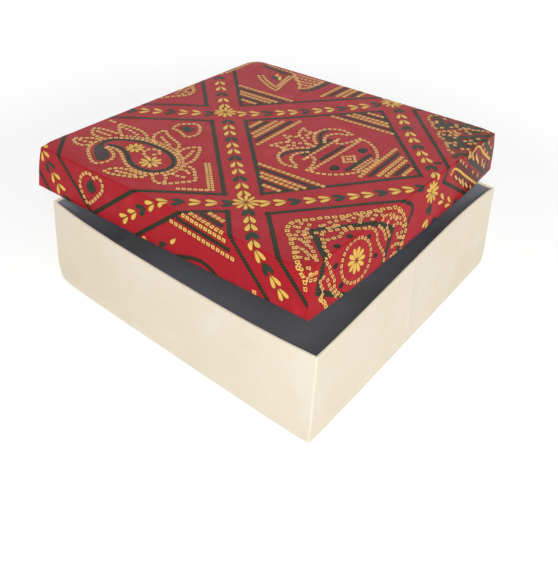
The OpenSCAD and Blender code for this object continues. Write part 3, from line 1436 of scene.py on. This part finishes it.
@dataclass
class Lamp:
    """The small lamp with its flame in the front cell, and the dotted drops beside the garlands.

    The flame and the leaf beside it are teardrops: ink, tip, turn in degrees, length and width.
    """

    drops: tuple[tuple[Point, ...], ...] = (
        ((-66, -35.4), (-68, -28.5), (-63.5, -22.3), (-58, -18.9), (-51.6, -22.5), (-47, -29.5),
         (-47, -36), (-50.5, -39.2), (-55.6, -37.2), (-60.6, -35.8)),
        ((-58.9, -121.4), (-63, -119.4), (-68, -121), (-72.1, -126.1), (-72.7, -132.8), (-70.1, -138.4),
         (-66, -143.5), (-61.5, -141), (-55.6, -134.6), (-50.9, -128.4), (-50.7, -122.4),
         (-54.6, -119.4)))
    hearts: tuple[tuple[Point, ...], ...] = (
        ((-63.6, -32.4), (-62.6, -28.6), (-60.6, -24.4), (-57.4, -26.4), (-53.4, -25), (-52.6, -30.2),
         (-54.4, -34.4), (-59, -31.8)),
        ((-66.4, -129.6), (-64.2, -125.6), (-60.8, -122.8), (-58.2, -126), (-56.2, -129.6),
         (-59.9, -134), (-64.8, -134)))
    bowl: tuple[Point, ...] = ((16, -151), (23, -148.4), (31, -145.8), (38, -145), (45, -146.6),
                               (51, -150.4))
    heart_share: float = 0.82
    flame: tuple[Ink, Point, float, float, float] = (YELLOW, (16.4, -137.2), 232, 7.2, 3.0)
    leaf: tuple[Ink, Point, float, float, float] = (MOSS, (9.4, -144.6), 205, 8.4, 4.4)
    flame_margin: float = 0.4
    # Loose squares: place and turn
    squares: tuple[tuple[Point, float], ...] = (((-11.5, -149.4), 0.3), ((80, -148.2), 0.1))

    def print_on(self, films: dict[Ink, Film]) -> None:
        """Prints the lamp and the drops.

        Args:
            films: the inks' films.
        """
        for outline in self.drops:
            print_dots(films, curve(outline, closed=True), closed=True)
        for heart in self.hearts:
            films[BRICK].fill(curve(heart, closed=True, steps=2))
            inner = [flat(heart[0]).lerp(flat(point), self.heart_share) for point in heart]
            films[LEAF].fill(curve(inner, closed=True, steps=2))
        for ink, at, angle, length, width in (self.flame, self.leaf):
            films[ink].petals([(flat(at), math.radians(angle))], length, width)
        _, at, angle, length, width = self.flame
        films[BRICK].petals([(flat(at), math.radians(angle))], length, width, self.flame_margin)
        print_ribs(films, curve(self.bowl))
        films[AMBER].rings([(flat(at), turn) for at, turn in self.squares], BLOCK)


@dataclass
class Pot:
    """The round pot with leaves in its mouth, lying on its side in the middle cell.

    Its outlines are given for one half, from the pot's axis; the other half mirrors them.
    """

    axis: float = 9.3
    belly: tuple[Point, ...] = (
        (45.5, 32), (52, 31.4), (59, 28), (65.4, 22.6), (70.4, 16), (73.8, 8), (74.8, 0))
    neck: tuple[tuple[Point, ...], ...] = (
        ((34, 0), (34, 10), (34.2, 20.6)), ((34.8, 17.6), (38.6, 14), (41.6, 19), (44.4, 25.6), (45.5, 32)),
        ((47.4, 0), (47.4, 15), (47.2, 30)))
    leaves: tuple[tuple[Point, ...], ...] = (
        ((37, 34), (28.4, 35.6), (21, 31.8), (16.2, 25), (16.6, 16.8), (20.6, 9.8), (26, 5)),
        ((34.8, 31), (28.4, 27.6), (25, 21.6), (26, 15.4), (29.6, 10.4)),
        ((4.6, 18.8), (10, 16.4), (15, 18.4), (12.6, 12), (16.4, 8.4)),
        ((4.6, 18.8), (6, 12), (9.6, 6.8), (8.4, 3.4), (1.6, 0)),
        ((9.6, 6.8), (15.4, 4.2), (21, 0)))
    stalk: tuple[Point, ...] = ((19.8, 29), (19.4, 21.6), (22.6, 14.2), (28.4, 7.4), (30.8, 0))
    stalk_width: float = 2.8
    stalk_middle: float = 1.1
    stalk_piece: float = 1.8
    # Each ribbed band across the pot, and its width
    bands: tuple[tuple[tuple[Point, ...], float], ...] = (
        (((30.4, 0), (30.4, 17.4)), 2.8), (((43.4, 0), (43.4, 14.4)), 2.6),
        (((65.2, 0), (65.2, 15.6)), 3.0))
    rows: tuple[tuple[Point, ...], ...] = (((68.4, 0), (68.4, 10.4)), ((71, 0), (71, 9)))
    spot: Point = (57.4, 17.4)
    spot_wide: float = 3.5
    spot_high: float = 4.1
    diamond: tuple[Point, ...] = ((-5.2, 0), (0, 6.2), (5.2, 0), (0, -6.2))
    middle: float = 57.4
    squares: tuple[float, ...] = (57.4, 23.6, 27.4)

    def print_on(self, films: dict[Ink, Film]) -> None:
        """Prints both halves of the pot.

        Args:
            films: the inks' films.
        """
        for hand in (1, -1):
            for line in (self.belly, *self.neck, *self.leaves):
                print_dots(films, self.half(line, hand))
            stalk = self.half(self.stalk, hand)
            films[MOSS].strip(stalk, self.stalk_width, self.stalk_piece)
            films[PINE].strip(stalk, self.stalk_middle, self.stalk_piece)
            for band, width in self.bands:
                print_ribs(films, self.half(band, hand), width)
            for row in self.rows:
                print_dots(films, self.half(row, hand), FINE)
            spot = round_outline(self.spot, self.spot_wide, self.spot_high, sides=8)
            print_spot(films, [(s, self.axis + hand * t) for s, t in spot])
        corners = [flat((self.middle + s, self.axis + t)) for s, t in self.diamond]
        for a, b in zip(corners, corners[1:] + corners[:1]):
            print_dots(films, [a, b], FINE)
        films[PEACH].rings([(flat((s, self.axis)), 0.0) for s in self.squares], BLOCK)

    def half(self, line: Sequence[Point], hand: int) -> Line:
        """A line of the figure on one side of the axis."""
        return curve([(s, self.axis + hand * t) for s, t in line], steps=4)


@dataclass
class Rosette:
    """A rosette in a lobed ring, a square green frame and an outer scalloped frame."""

    at: Point
    way: int = 1
    flower_petals: int = 10
    flower_radius: float = 9.6
    flower_petal: float = 3.2
    flower_turn: float = 0.15
    flower_stretch: float = 0.95
    ring: float = 15.4
    ring_parts: int = 12
    spot_wide: float = 2.1
    spot_high: float = 2.4
    loose_turn: float = 0.4
    frame_width: float = 4.0
    frame_over: float = 1.8
    frame_piece: float = 3.0
    tick_pitch: float = 2.3
    tick_width: float = 0.9
    tick_length: float = 4.2
    tick_slant: float = 0.7
    frame_line: tuple[tuple[Point, ...], ...] = (
        ((-40.2, -11), (-2.9, 41.1)), ((-2.9, 41.1), (38, 13.5)), ((38, 13.5), (1.8, -38.6)),
        ((1.8, -38.6), (-5.1, -36), (-9.6, -32.6), (-13.7, -31.8), (-20.9, -26.4), (-31.3, -18.2),
         (-40.2, -11)))
    lobes: tuple[Point, ...] = (
        (-27.3, -17), (-27.2, -11.6), (-24.4, -6.1), (-25.8, 0.6), (-22.7, 7.2), (-18.6, 12.3),
        (-15.5, 18.4), (-8.6, 23.1), (-2.6, 23.2), (4.1, 25.8), (11, 28.9), (17, 28), (22.6, 23),
        (25.4, 14), (24, 5), (25, -3.6), (20.6, -10), (18.1, -16.4), (12.4, -21.1), (7.4, -23.4),
        (1.3, -22.8), (-4, -24.9), (-10, -25.8), (-16.6, -28.6), (-18.4, -23.9), (-23.6, -21.5))
    spots: tuple[Point, ...] = ((-20, -14.6), (-7.3, -20.2), (9.5, -17.1), (-20.3, -1), (-10.1, 14.8),
                                (7.4, 19.9), (21, 2))
    outer: tuple[tuple[Point, ...], ...] = (
        ((-17.9, -57.4), (-19.7, -51), (-22.8, -47.7), (-28, -41.6), (-32.2, -38.4), (-37.1, -32.2),
         (-41.6, -29.3), (-45.4, -24.6), (-49.6, -22.2), (-53.4, -17.2), (-54.4, -10.6), (-51.6, -5.6),
         (-48.3, -1.8), (-43.8, 4.9), (-39.1, 10.1), (-35, 15.2), (-30.9, 22.7), (-26, 29.9),
         (-23, 36.3), (-19.4, 41.9), (-16.8, 46.9), (-12.1, 51.4), (-6.6, 54.8), (-1.1, 56.2),
         (4.6, 56.6), (8.4, 55), (12, 52), (18.4, 49.7), (26, 46), (34, 38), (41, 30), (47, 20)),
        ((7.4, -36.6), (11, -34.4), (17.5, -32), (25, -28), (33, -20), (40, -9), (46, 4)))
    arcs: tuple[tuple[Point, ...], ...] = (
        ((-49.7, -8.8), (-46.6, -16.5), (-41.3, -18.1)), ((-45.2, -7), (-42.3, -13.9), (-36.8, -17.2)),
        ((-43, -24.6), (-39, -23.1), (-33.4, -25.2)), ((-36.4, -30.7), (-31.9, -30.6), (-26.5, -32.6)),
        ((-29.2, -37.7), (-25.3, -36.2), (-23.2, -32.5)), ((-22.4, -45.4), (-19.6, -41.6), (-15.9, -42)),
        ((-14.4, -43.6), (-12.7, -37.5)), ((-12.4, -45.6), (-8.8, -39.1)),
        ((-5.8, -31.9), (-4, -35.4), (2.1, -33.8)), ((9, -36.4), (13, -33), (17.5, -32)),
        ((-33.6, 3), (-35.6, 7.8), (-33.8, 11.5)), ((-30.2, 12.4), (-33.8, 15)),
        ((-24.1, 15.5), (-26.5, 21.2), (-24.9, 25)), ((-20.5, 24.1), (-21.4, 30.1), (-18.1, 32)),
        ((-15.4, 30.6), (-16.3, 36.7), (-12.5, 43.1)), ((-10.2, 36), (-11.6, 41.6), (-6.4, 50.4)),
        ((-4.6, 42.4), (-3.3, 49.1), (1.6, 53.6)), ((4, 45.6), (5.4, 51.2)),
        ((10.8, 39.1), (11.3, 44.5), (14.6, 49.4)), ((17.6, 36.8), (17, 41.9), (20.6, 46)),
        ((27, 30), (27, 36), (31, 39)), ((35, 23), (36, 28), (40, 29)),
        ((-37, -11.4), (-34.6, -9.4), (-30.3, -14.6)), ((-34.4, -7.6), (-29.6, -0.1), (-25.6, 7.4)),
        ((-12.2, 26.4), (-6, 31), (0.6, 32.4)), ((-1.6, -28.6), (5.3, -27), (13.8, -23)),
        ((-43.3, -14.8), (-39.4, -18.9), (-35, -21.7)), ((-30.3, -25.8), (-25.4, -29.4), (-20.7, -33.6)),
        ((-38.5, -1.5), (-37.6, 3.4)), ((-28.5, 22.4), (-25.4, 27.6)), ((-12.6, 49.4), (-8.2, 45.6)),
        ((7.2, 46.6), (10.6, 52.4)), ((22.6, 38.6), (24.4, 44)), ((-34.6, -2.6), (-31.8, 3.6)),
        ((-6.6, 34.6), (0.4, 36.6)))
    loose: tuple[Point, ...] = (
        (-50.4, -14), (-39.4, -3.4), (-44.6, -21), (-29.6, 17), (-33.4, -34.6), (-21.6, 34.4),
        (-25.2, -43.6), (-17.6, -47.6), (-8.8, 47), (8.4, 49.6), (22, 42), (5.6, -34.6))

    def moved(self, points: Iterable[Sequence[float]]) -> list[Point]:
        """Points given from the rosette's middle, turned and moved to its place."""
        return [(self.at[0] + self.way * p[0], self.at[1] + self.way * p[1]) for p in points]

    def print_on(self, films: dict[Ink, Film]) -> None:
        """Prints the rosette and its frames.

        Args:
            films: the inks' films.
        """
        print_flower(films, self.at, self.flower_petals, self.flower_radius, self.flower_petal,
                     self.flower_turn, self.flower_stretch)
        circle = round_outline((0, 0), self.ring, self.ring, self.ring_parts)
        for line in (circle, self.lobes):
            print_dots(films, curve(self.moved(line), closed=True), SQUARE, closed=True)
        for arc in self.arcs:
            print_dots(films, curve(self.moved(arc)), SQUARE)
        for line in self.outer:
            print_dots(films, curve(self.moved(line)), RING)
        print_squares(films, [(flat(p), self.loose_turn) for p in self.moved(self.loose)], SQUARE)
        for spot in self.spots:
            print_spot(films, self.moved(round_outline(spot, self.spot_wide, self.spot_high, sides=6)))
        for side in self.frame_line:
            line = [flat(p) for p in self.moved(side)]
            lead, tail = (line[1] - line[0]).normalized(), (line[-1] - line[-2]).normalized()
            ends = [line[0] - lead * self.frame_over, *line[1:-1], line[-1] + tail * self.frame_over]
            films[MOSS].strip(ends, self.frame_width, self.frame_piece)
            films[PINE].bars(spaced(line, self.tick_pitch)[:-1], self.tick_width, self.tick_length,
                             self.tick_slant)


@dataclass
class BackFigure:
    """What shows of the figure in the back cell: dotted lines, dark patches and a small sprig."""

    rows: tuple[tuple[Point, ...], ...] = (
        ((-85.9, 86.4), (-80, 82), (-74.7, 79.2), (-62.6, 73.5), (-55.7, 72.4), (-60.1, 88.5),
         (-63.5, 104.8)),
        ((-83.7, 89.4), (-73.5, 82.9), (-63.7, 78.4), (-60, 78.6), (-64, 92.6), (-66.4, 103.1)),
        ((-68.5, 111.4), (-59.1, 111.2), (-50, 112.4), (-39.5, 113.4)),
        ((-63, 105.6), (-53.4, 106.3), (-46.2, 107.6), (-39.9, 109.1)),
        ((-57, 100.7), (-48.2, 101), (-40, 103.9)), ((-50.6, 95.6), (-45, 96), (-40.6, 98)),
        ((-44.3, 88.2), (-39.5, 92.6), (-37.6, 102.4), (-37.6, 111.6)),
        ((-65, 108.6), (-57, 102), (-50.8, 96.9), (-43.9, 88.6)),
        ((-96, 113.4), (-84.7, 111.8), (-72, 112.6)), ((-66, 120), (-48, 126), (-38, 120)),
        ((-62, 132), (-48, 138), (-34, 132)))
    darks: tuple[tuple[Ink, float, tuple[Point, ...]], ...] = (
        (MOSS, 4.4, ((-99, 109.4), (-89.8, 107.4), (-81.7, 107.6), (-72, 106), (-66.6, 108.6))),
        (PLUM, 7.0, ((-76, 96), (-71, 92.6), (-66.6, 92))),
        (MOSS, 4.0, ((-39.8, 84.1), (-35, 91.3), (-33.5, 102.3), (-34.1, 130))))
    sprig: tuple[Point, ...] = ((-76.6, 101.4), (-72.2, 99.4), (-69.6, 96.4))
    sprig_turn: float = -1.2
    leaf_length: float = 6.4
    leaf_width: float = 2.8

    def print_on(self, films: dict[Ink, Film]) -> None:
        """Prints the figure.

        Args:
            films: the inks' films.
        """
        for line in self.rows:
            print_dots(films, curve(line))
        for ink, width, line in self.darks:
            films[ink].strip(curve(line), width)
        sprig = [(flat(tip), self.sprig_turn) for tip in self.sprig]
        films[BRICK].petals(sprig, self.leaf_length, self.leaf_width, PETAL_MARGIN)
        films[YELLOW].petals(sprig, self.leaf_length, self.leaf_width)


@dataclass
class Arches:
    """The close dark ribbons, dotted arches and yellow combs of the cell at the far right corner."""

    ground: tuple[Point, ...] = (
        (61.4, 116.8), (64, 107.4), (72.4, 99.2), (82.2, 87.4), (91, 79.6), (97.8, 72), (103, 66.4),
        (107.4, 62.4), (112.4, 64), (122, 76), (134, 91), (147, 108), (147, 118), (100, 118))
    ribbons: tuple[tuple[Point, ...], ...] = (
        ((65.1, 115.4), (71.2, 111.2), (75.3, 110.4), (77.2, 101), (81.9, 99.1), (84.5, 105.1)),
        ((79, 110.6), (84.3, 109.4), (89.7, 111.2), (95, 118)),
        ((90.4, 80.6), (94.1, 84.8), (98.5, 86.6), (100.1, 94.4), (105.3, 96.3), (107.6, 104),
         (112.3, 106.7), (114.8, 114.1)),
        ((99.1, 100.7), (102.4, 106.4), (107.3, 110.9)),
        ((76.1, 99), (83.6, 98.9), (86.9, 106.6), (90.6, 113.5), (99.2, 112.9), (106, 117.6)),
        ((89.6, 87.5), (94.3, 86.4), (99.3, 82.6)), ((96.9, 73.7), (100.8, 75.8), (106.5, 74.3)),
        ((108.6, 97.8), (112.4, 99.6), (120.4, 105.7)),
        ((111, 59.4), (111.2, 66.6), (114.6, 70.9), (122.2, 76), (131.8, 88), (144.2, 103.7)),
        ((102, 72.4), (102.8, 79.6), (107.8, 83), (112.6, 79)),
        ((72.9, 106.1), (78.5, 103.6), (84.5, 105.1), (91.6, 106.5), (95.5, 112.6)),
        ((95.5, 77.5), (99.3, 83), (105, 86), (109.1, 92.7), (111.4, 100.3)),
        ((145, 97), (139.6, 108), (132, 116)), ((118, 100), (124.6, 108.4), (130, 116)))
    shades: tuple[tuple[Point, ...], ...] = (
        ((116.9, 55), (125.3, 67.5), (138.7, 84.8), (149, 97)),
        ((116.4, 80.4), (124.7, 84.9), (136.6, 100.4), (146.5, 112.3)),
        ((124.6, 52.7), (138.2, 68.7), (151, 84.6)), ((68, 106), (80, 104), (92, 108), (104, 116)),
        ((86, 90), (96, 92), (104, 90), (112, 100)), ((100, 72), (110, 80), (113, 90)))
    rings: tuple[tuple[Point, ...], ...] = (
        ((66.7, 116.5), (64, 112.5), (65.7, 106.3), (70, 102.5), (72.6, 106.1)),
        ((91, 82.1), (86.9, 84), (83.4, 89.5), (85.9, 94.5), (89.4, 97.7), (92.2, 100.2), (94.5, 94)),
        ((92.8, 105.1), (94.6, 109.7), (97.8, 105.3), (101.9, 103.2)),
        ((97.2, 110.6), (102.3, 111.4), (106.5, 114.5), (110, 116.4)),
        ((102.8, 68.2), (106.6, 66.5)), ((98.2, 78.9), (100.4, 82.3), (102.6, 78)),
        ((109.3, 76.7), (112, 79.4), (116, 76.6)), ((105, 89.1), (107.9, 93.1), (111.9, 91.1)),
        ((74, 104), (72.6, 98.4), (78, 94.6)), ((88, 88.6), (92, 90.6), (90.6, 95)),
        ((86.4, 104), (89, 107.6)), ((96.6, 89.6), (96, 98)), ((95.6, 77.6), (99.6, 72.6)))
    loose: tuple[Point, ...] = ((81.2, 98.5), (87, 110.3), (75.1, 114.8), (110.6, 99.6), (109.4, 88))
    drops: tuple[Point, ...] = ((116.7, 62), (125.4, 71.4), (135.4, 83.8), (142.1, 93.4), (120.6, 66.4),
                                (117.4, 97.6), (123.2, 101), (128.4, 107), (119.6, 107.6), (136.8, 104.6),
                                (125.6, 113.4), (134.4, 112.2))
    combs: tuple[tuple[Point, ...], ...] = (
        ((120.1, 78), (116.9, 83.3), (116.4, 91), (125.1, 99.5), (135.3, 113)),
        ((122.2, 48.4), (119.8, 52.1), (123.5, 59.2), (133, 70.5), (143.8, 84.9), (151, 95)))
    teeth: tuple[tuple[Point, Point], ...] = (
        ((115.6, 76.6), (120.6, 74.4)), ((120.3, 81.1), (124.9, 83.1)), ((125.3, 89.3), (131.5, 92.3)),
        ((136.4, 102.4), (140.3, 104.6)), ((121.4, 87), (127, 88.4)), ((130, 99), (136.4, 99.6)),
        ((130.7, 60), (137.5, 64.5)), ((139.2, 71), (145, 75.3)), ((126, 54), (130.6, 57.4)),
        ((134, 66), (141.6, 68.4)), ((145, 80), (151, 83.4)))
    shade_width: float = 7.0
    ribbon_width: float = 3.8
    square_turn: float = 0.7
    square_ground: float = 4.0
    comb_pitch: float = 2.9
    # A comb part's size along and across the comb
    comb_part: tuple[float, float] = (2.6, 1.9)
    comb_ground: float = 3.0
    tooth_width: float = 2.0
    tooth_ground: float = 3.0
    tooth_over: float = 1.0
    # A small dark bar: place, turn, and size along and across
    speck: tuple[Point, float, float, float] = ((106.8, 45.1), 0.9, 5.6, 3.0)

    def print_on(self, films: dict[Ink, Film]) -> None:
        """Prints the cell.

        Args:
            films: the inks' films.
        """
        films[RUST].fill([flat(p) for p in (*self.ground, self.ground[0])])
        for shade in self.shades:
            films[BRICK].strip(curve(shade), self.shade_width)
        for ribbon in self.ribbons:
            films[MOSS].strip(curve(ribbon), self.ribbon_width)
        for line in self.rings:
            print_dots(films, curve(line), SQUARE)
        for squares, ink in ((self.loose, AMBER), (self.drops, PEACH)):
            places = [(flat(p), self.square_turn) for p in squares]
            films[ink].rings(places, SQUARE)
            films[BRICK].bars(places, self.square_ground, self.square_ground)
        for comb in self.combs:
            line = spaced(curve(comb), self.comb_pitch)
            films[YELLOW].bars(line, *self.comb_part)
            films[BRICK].bars(line, self.comb_ground, self.comb_ground)
        for a, b in self.teeth:
            middle, way = (flat(a) + flat(b)) / 2, flat(b) - flat(a)
            place = [(middle, math.atan2(way.y, way.x))]
            films[PEACH].bars(place, way.length, self.tooth_width)
            films[BRICK].bars(place, way.length + self.tooth_over, self.tooth_ground)
        at, turn, along, across = self.speck
        films[PINE].bars([(flat(at), turn)], along, across)


@dataclass
class BackRow:
    """The dark waves and dotted arches on the back of the skirt, near the far right corner."""

    first: float = 58.0
    columns: int = 6
    pitch: float = 9.2
    waves: tuple[float, ...] = (121.0, 138.0)
    arches: float = 129.0
    swing: float = 2.6
    wave_width: float = 4.0
    wave_middle: float = 2.0
    arch: tuple[Point, ...] = ((-3.4, -2.4), (-2, 1), (0, 2.4), (2, 1), (3.4, -2.4))

    def print_on(self, films: dict[Ink, Film]) -> None:
        """Prints the rows.

        Args:
            films: the inks' films.
        """
        for t in self.waves:
            wave = curve([(self.first + self.pitch * k / 2, t + (self.swing if k % 2 else -self.swing))
                          for k in range(2 * self.columns - 1)], steps=3)
            films[MOSS].strip(wave, self.wave_width)
            films[PINE].strip(wave, self.wave_middle)
        for k in range(self.columns - 1):
            s = self.first + self.pitch * (k + 0.5)
            arch = [(s + x, self.arches + y) for x, y in self.arch]
            print_dots(films, curve(arch, steps=3), FINE)


@dataclass
class LidPrint:
    """The tie-dye style print on the lid's paper, with a figure in each cell of its lattice."""

    sheet: FoldedSheet
    shell: Shell
    skirt_share: float = 0.7
    # Corners of the cells that rows fill: the corner, and the way into the cell
    fans: tuple[tuple[Point, Point], ...] = (
        ((43, -67), (-0.06, 1)), ((31, 94), (0.08, -1)), ((-36, 10), (1, 0.02)),
        ((107, 20.5), (-1, -0.06)), ((41, -97.5), (-0.12, -1)), ((-56.5, 29.5), (-0.06, 1)),
        ((11, 112), (-1, 0)), ((-143, 100), (1, 0)))
    # Each rosette's middle, and which way it is turned
    rosettes: tuple[tuple[Point, int], ...] = (((132.4, -70.6), 1), ((-155.9, 6.5), -1))

    def build(self, finishes: Finishes) -> None:
        """Prints every part of the pattern and folds it onto the lid.

        Args:
            finishes: the materials.
        """
        films = {ink: Film(ink) for ink in INKS}
        fans = [Fan(apex, away) for apex, away in self.fans]
        rosettes = [Rosette(at, way) for at, way in self.rosettes]
        for part in (Lattice(), *fans, Paisley(), Lamp(), Pot(), *rosettes, BackFigure(), Arches(),
                     BackRow()):
            part.print_on(films)
        for film in films.values():
            self.fold(film, finishes)

    def unmoved(self, s: float, t: float) -> tuple[float, float]:
        """Where a point that is drawn as it shows on the used lid lies on the true one.

        Args:
            s: distance to the right of the middle.
            t: distance to the back of the middle.

        Returns:
            The point on the true sheet.
        """
        true = self.sheet.place(s, t, 0.0)
        shift = self.shell.give.moved(true) - true
        down_x, down_y = abs(s) > self.sheet.flat, abs(t) > self.sheet.flat
        return (s - shift.x * (self.skirt_share if down_x else 1.0),
                t - shift.y * (self.skirt_share if down_y else 1.0))

    def fold(self, film: Film, finishes: Finishes) -> None:
        """Folds one ink's film onto the lid and dresses it.

        Args:
            film: the ink's shapes.
            finishes: the materials.
        """
        for vert in film.shapes.verts:
            vert.co.xy = self.unmoved(vert.co.x, vert.co.y)
        self.sheet.fold_film(film.shapes, film.ink.top)
        self.shell.cut_up(film.shapes)
        self.shell.soften(film.shapes)
        piece = finish_mesh(film.shapes, f"lid_print_{film.ink.name}")
        settle(piece, "lid", finishes.of(film.ink.finish()))
        log.info("%s: %d faces", piece.name, len(piece.data.polygons))


# Studio

@dataclass(frozen=True)
class Softbox:
    """A soft square lamp: its name, place, side in metres, power in watts, and what it faces."""

    name: str
    place: tuple[float, float, float]
    size: float
    power: float
    aim: tuple[float, float, float] = (0.0, 0.0, 0.05)

    def hang(self) -> None:
        """Hangs the lamp, out of the camera's sight."""
        data = bpy.data.lights.new(self.name, "AREA")
        data.size = self.size
        data.energy = self.power
        lamp = bpy.data.objects.new(self.name, data)
        lamp.visible_camera = False
        bpy.context.scene.collection.objects.link(lamp)
        way = Vector(self.aim) - Vector(self.place)
        lamp.matrix_world = (Matrix.Translation(self.place)
                             @ way.to_track_quat("-Z", "Y").to_matrix().to_4x4())


@dataclass(frozen=True)
class Studio:
    """Floor, lamps and camera. Lengths are in metres."""

    lens: float = 46.12
    sensor: float = 36.0
    eye: tuple[float, float, float] = (0.26417, -0.35887, 0.36902)
    right: tuple[float, float, float] = (0.784987, 0.618155, 0.040985)
    down: tuple[float, float, float] = (0.432741, -0.499786, -0.750299)
    forward: tuple[float, float, float] = (-0.443318, 0.606711, -0.659827)
    floor_half: float = 6.0
    floor_white: float = 0.74
    floor_glow: float = 0.36
    glow_near: float = 0.3
    glow_far: float = 1.1
    world_low: float = 0.7
    world_high: float = 0.2
    world_turn: float = 0.8
    clip_start: float = 0.01
    floor_rough: float = 0.9
    softboxes: tuple[Softbox, ...] = (
        Softbox("softbox_front", (0.82, -1.08, 1.24), 0.7, 22.0),
        Softbox("softbox_right", (1.6, -0.3, 0.5), 1.0, 3.6),
        Softbox("softbox_back", (-0.9, 1.2, 1.3), 1.6, 8.0, (0.0, 0.0, 0.1)))

    def camera(self) -> None:
        """Puts the camera at the photograph's viewing angle."""
        data = bpy.data.cameras.new("camera")
        data.lens = self.lens
        data.sensor_width = self.sensor
        data.sensor_height = self.sensor
        data.sensor_fit = "AUTO"
        data.clip_start = self.clip_start
        camera = bpy.data.objects.new("camera", data)
        bpy.context.scene.collection.objects.link(camera)
        rows = [Vector(self.right), -Vector(self.down), -Vector(self.forward)]
        turn = Matrix(rows).transposed().to_4x4()
        camera.matrix_world = Matrix.Translation(self.eye) @ turn
        bpy.context.scene.camera = camera

    def floor(self) -> None:
        """Lays the plain floor, which shows nearly white and keeps the box's shadow."""
        mesh = bmesh.new()
        bmesh.ops.create_grid(mesh, x_segments=1, y_segments=1, size=self.floor_half)
        data = bpy.data.meshes.new("floor")
        mesh.to_mesh(data)
        mesh.free()
        floor = bpy.data.objects.new("floor", data)
        bpy.context.scene.collection.objects.link(floor)
        data.materials.append(self.floor_paint())

    def floor_paint(self) -> bpy.types.Material:
        """White paint that gets some of its brightness only in the camera's and mirror rays.

        Returns:
            The material.
        """
        material = bpy.data.materials.new("studio_white")
        material.use_nodes = True
        tree = material.node_tree
        shader = tree.nodes["Principled BSDF"]
        shader.inputs["Base Color"].default_value = (*[self.floor_white] * 3, 1.0)
        shader.inputs["Roughness"].default_value = self.floor_rough
        shader.inputs["Specular IOR Level"].default_value = 0.0
        path = add_node(tree, "ShaderNodeLightPath")
        seen = add_node(tree, "ShaderNodeMath",
                        {0: path.outputs["Is Camera Ray"], 1: path.outputs["Is Glossy Ray"]},
                        operation="MAXIMUM")
        place = add_node(tree, "ShaderNodeTexCoord")
        away = add_node(tree, "ShaderNodeVectorMath", {0: place.outputs["Object"]}, operation="LENGTH")
        rise = add_node(tree, "ShaderNodeMapRange", {
            "Value": away.outputs["Value"], "From Min": self.glow_near, "From Max": self.glow_far,
            "To Min": self.floor_glow, "To Max": 1.0})
        lift = add_node(tree, "ShaderNodeMath", {0: seen.outputs[0], 1: rise.outputs["Result"]},
                        operation="MULTIPLY")
        glow = add_node(tree, "ShaderNodeEmission", {"Color": (1, 1, 1, 1), "Strength": lift.outputs[0]})
        total = add_node(tree, "ShaderNodeAddShader",
                         {0: shader.outputs["BSDF"], 1: glow.outputs["Emission"]})
        tree.links.new(total.outputs[0], tree.nodes["Material Output"].inputs["Surface"])
        return material

    def surroundings(self) -> None:
        """Fills the room with soft light, mostly from the sides, and shows it white to the camera."""
        world = bpy.data.worlds.new("studio_room")
        bpy.context.scene.world = world
        world.use_nodes = True
        tree = world.node_tree
        back = tree.nodes["Background"]
        path = add_node(tree, "ShaderNodeLightPath")
        back.inputs["Color"].default_value = (1.0, 1.0, 1.0, 1.0)
        way = add_node(tree, "ShaderNodeSeparateXYZ",
                       {"Vector": add_node(tree, "ShaderNodeTexCoord").outputs["Generated"]})
        height = add_node(tree, "ShaderNodeMapRange",
                          {"Value": way.outputs["Z"], "From Min": 0.0, "From Max": self.world_turn,
                           "To Min": self.world_low, "To Max": self.world_high}, clamp=True)
        level = add_node(tree, "ShaderNodeMapRange",
                         {"Value": path.outputs["Is Camera Ray"], "To Min": height.outputs["Result"],
                          "To Max": 1.0})
        tree.links.new(level.outputs["Result"], back.inputs["Strength"])

    def build(self) -> None:
        """Sets up the whole studio."""
        bpy.context.scene.view_settings.view_transform = "Standard"
        self.camera()
        self.floor()
        self.surroundings()
        for softbox in self.softboxes:
            softbox.hang()


def main() -> None:
    """Builds the box and the studio."""
    logging.basicConfig(level=logging.INFO, format="%(message)s")
    sizes = BoxSizes()
    finishes = Finishes()
    shells = {"tray": tray_shell(sizes), "lid": lid_shell(sizes)}
    slots = {row["node"]: row["material_slot"] for row in frame["record"]["subparts"]}
    for body, nodes in frame["record"]["behaviour"]["bodies"].items():
        for node in nodes:
            shells[body].form(node, slots[node], finishes)
    sheet = FoldedSheet(sizes.lid_width / 2, sizes.lid_height, LID_FOLD, LID_FOOT, sizes.lid_corner,
                        sizes.wall - LID_FOOT - sizes.liner)
    LidPrint(sheet, shells["lid"]).build(finishes)
    Studio().build()


if __name__ == "__main__":
    main()
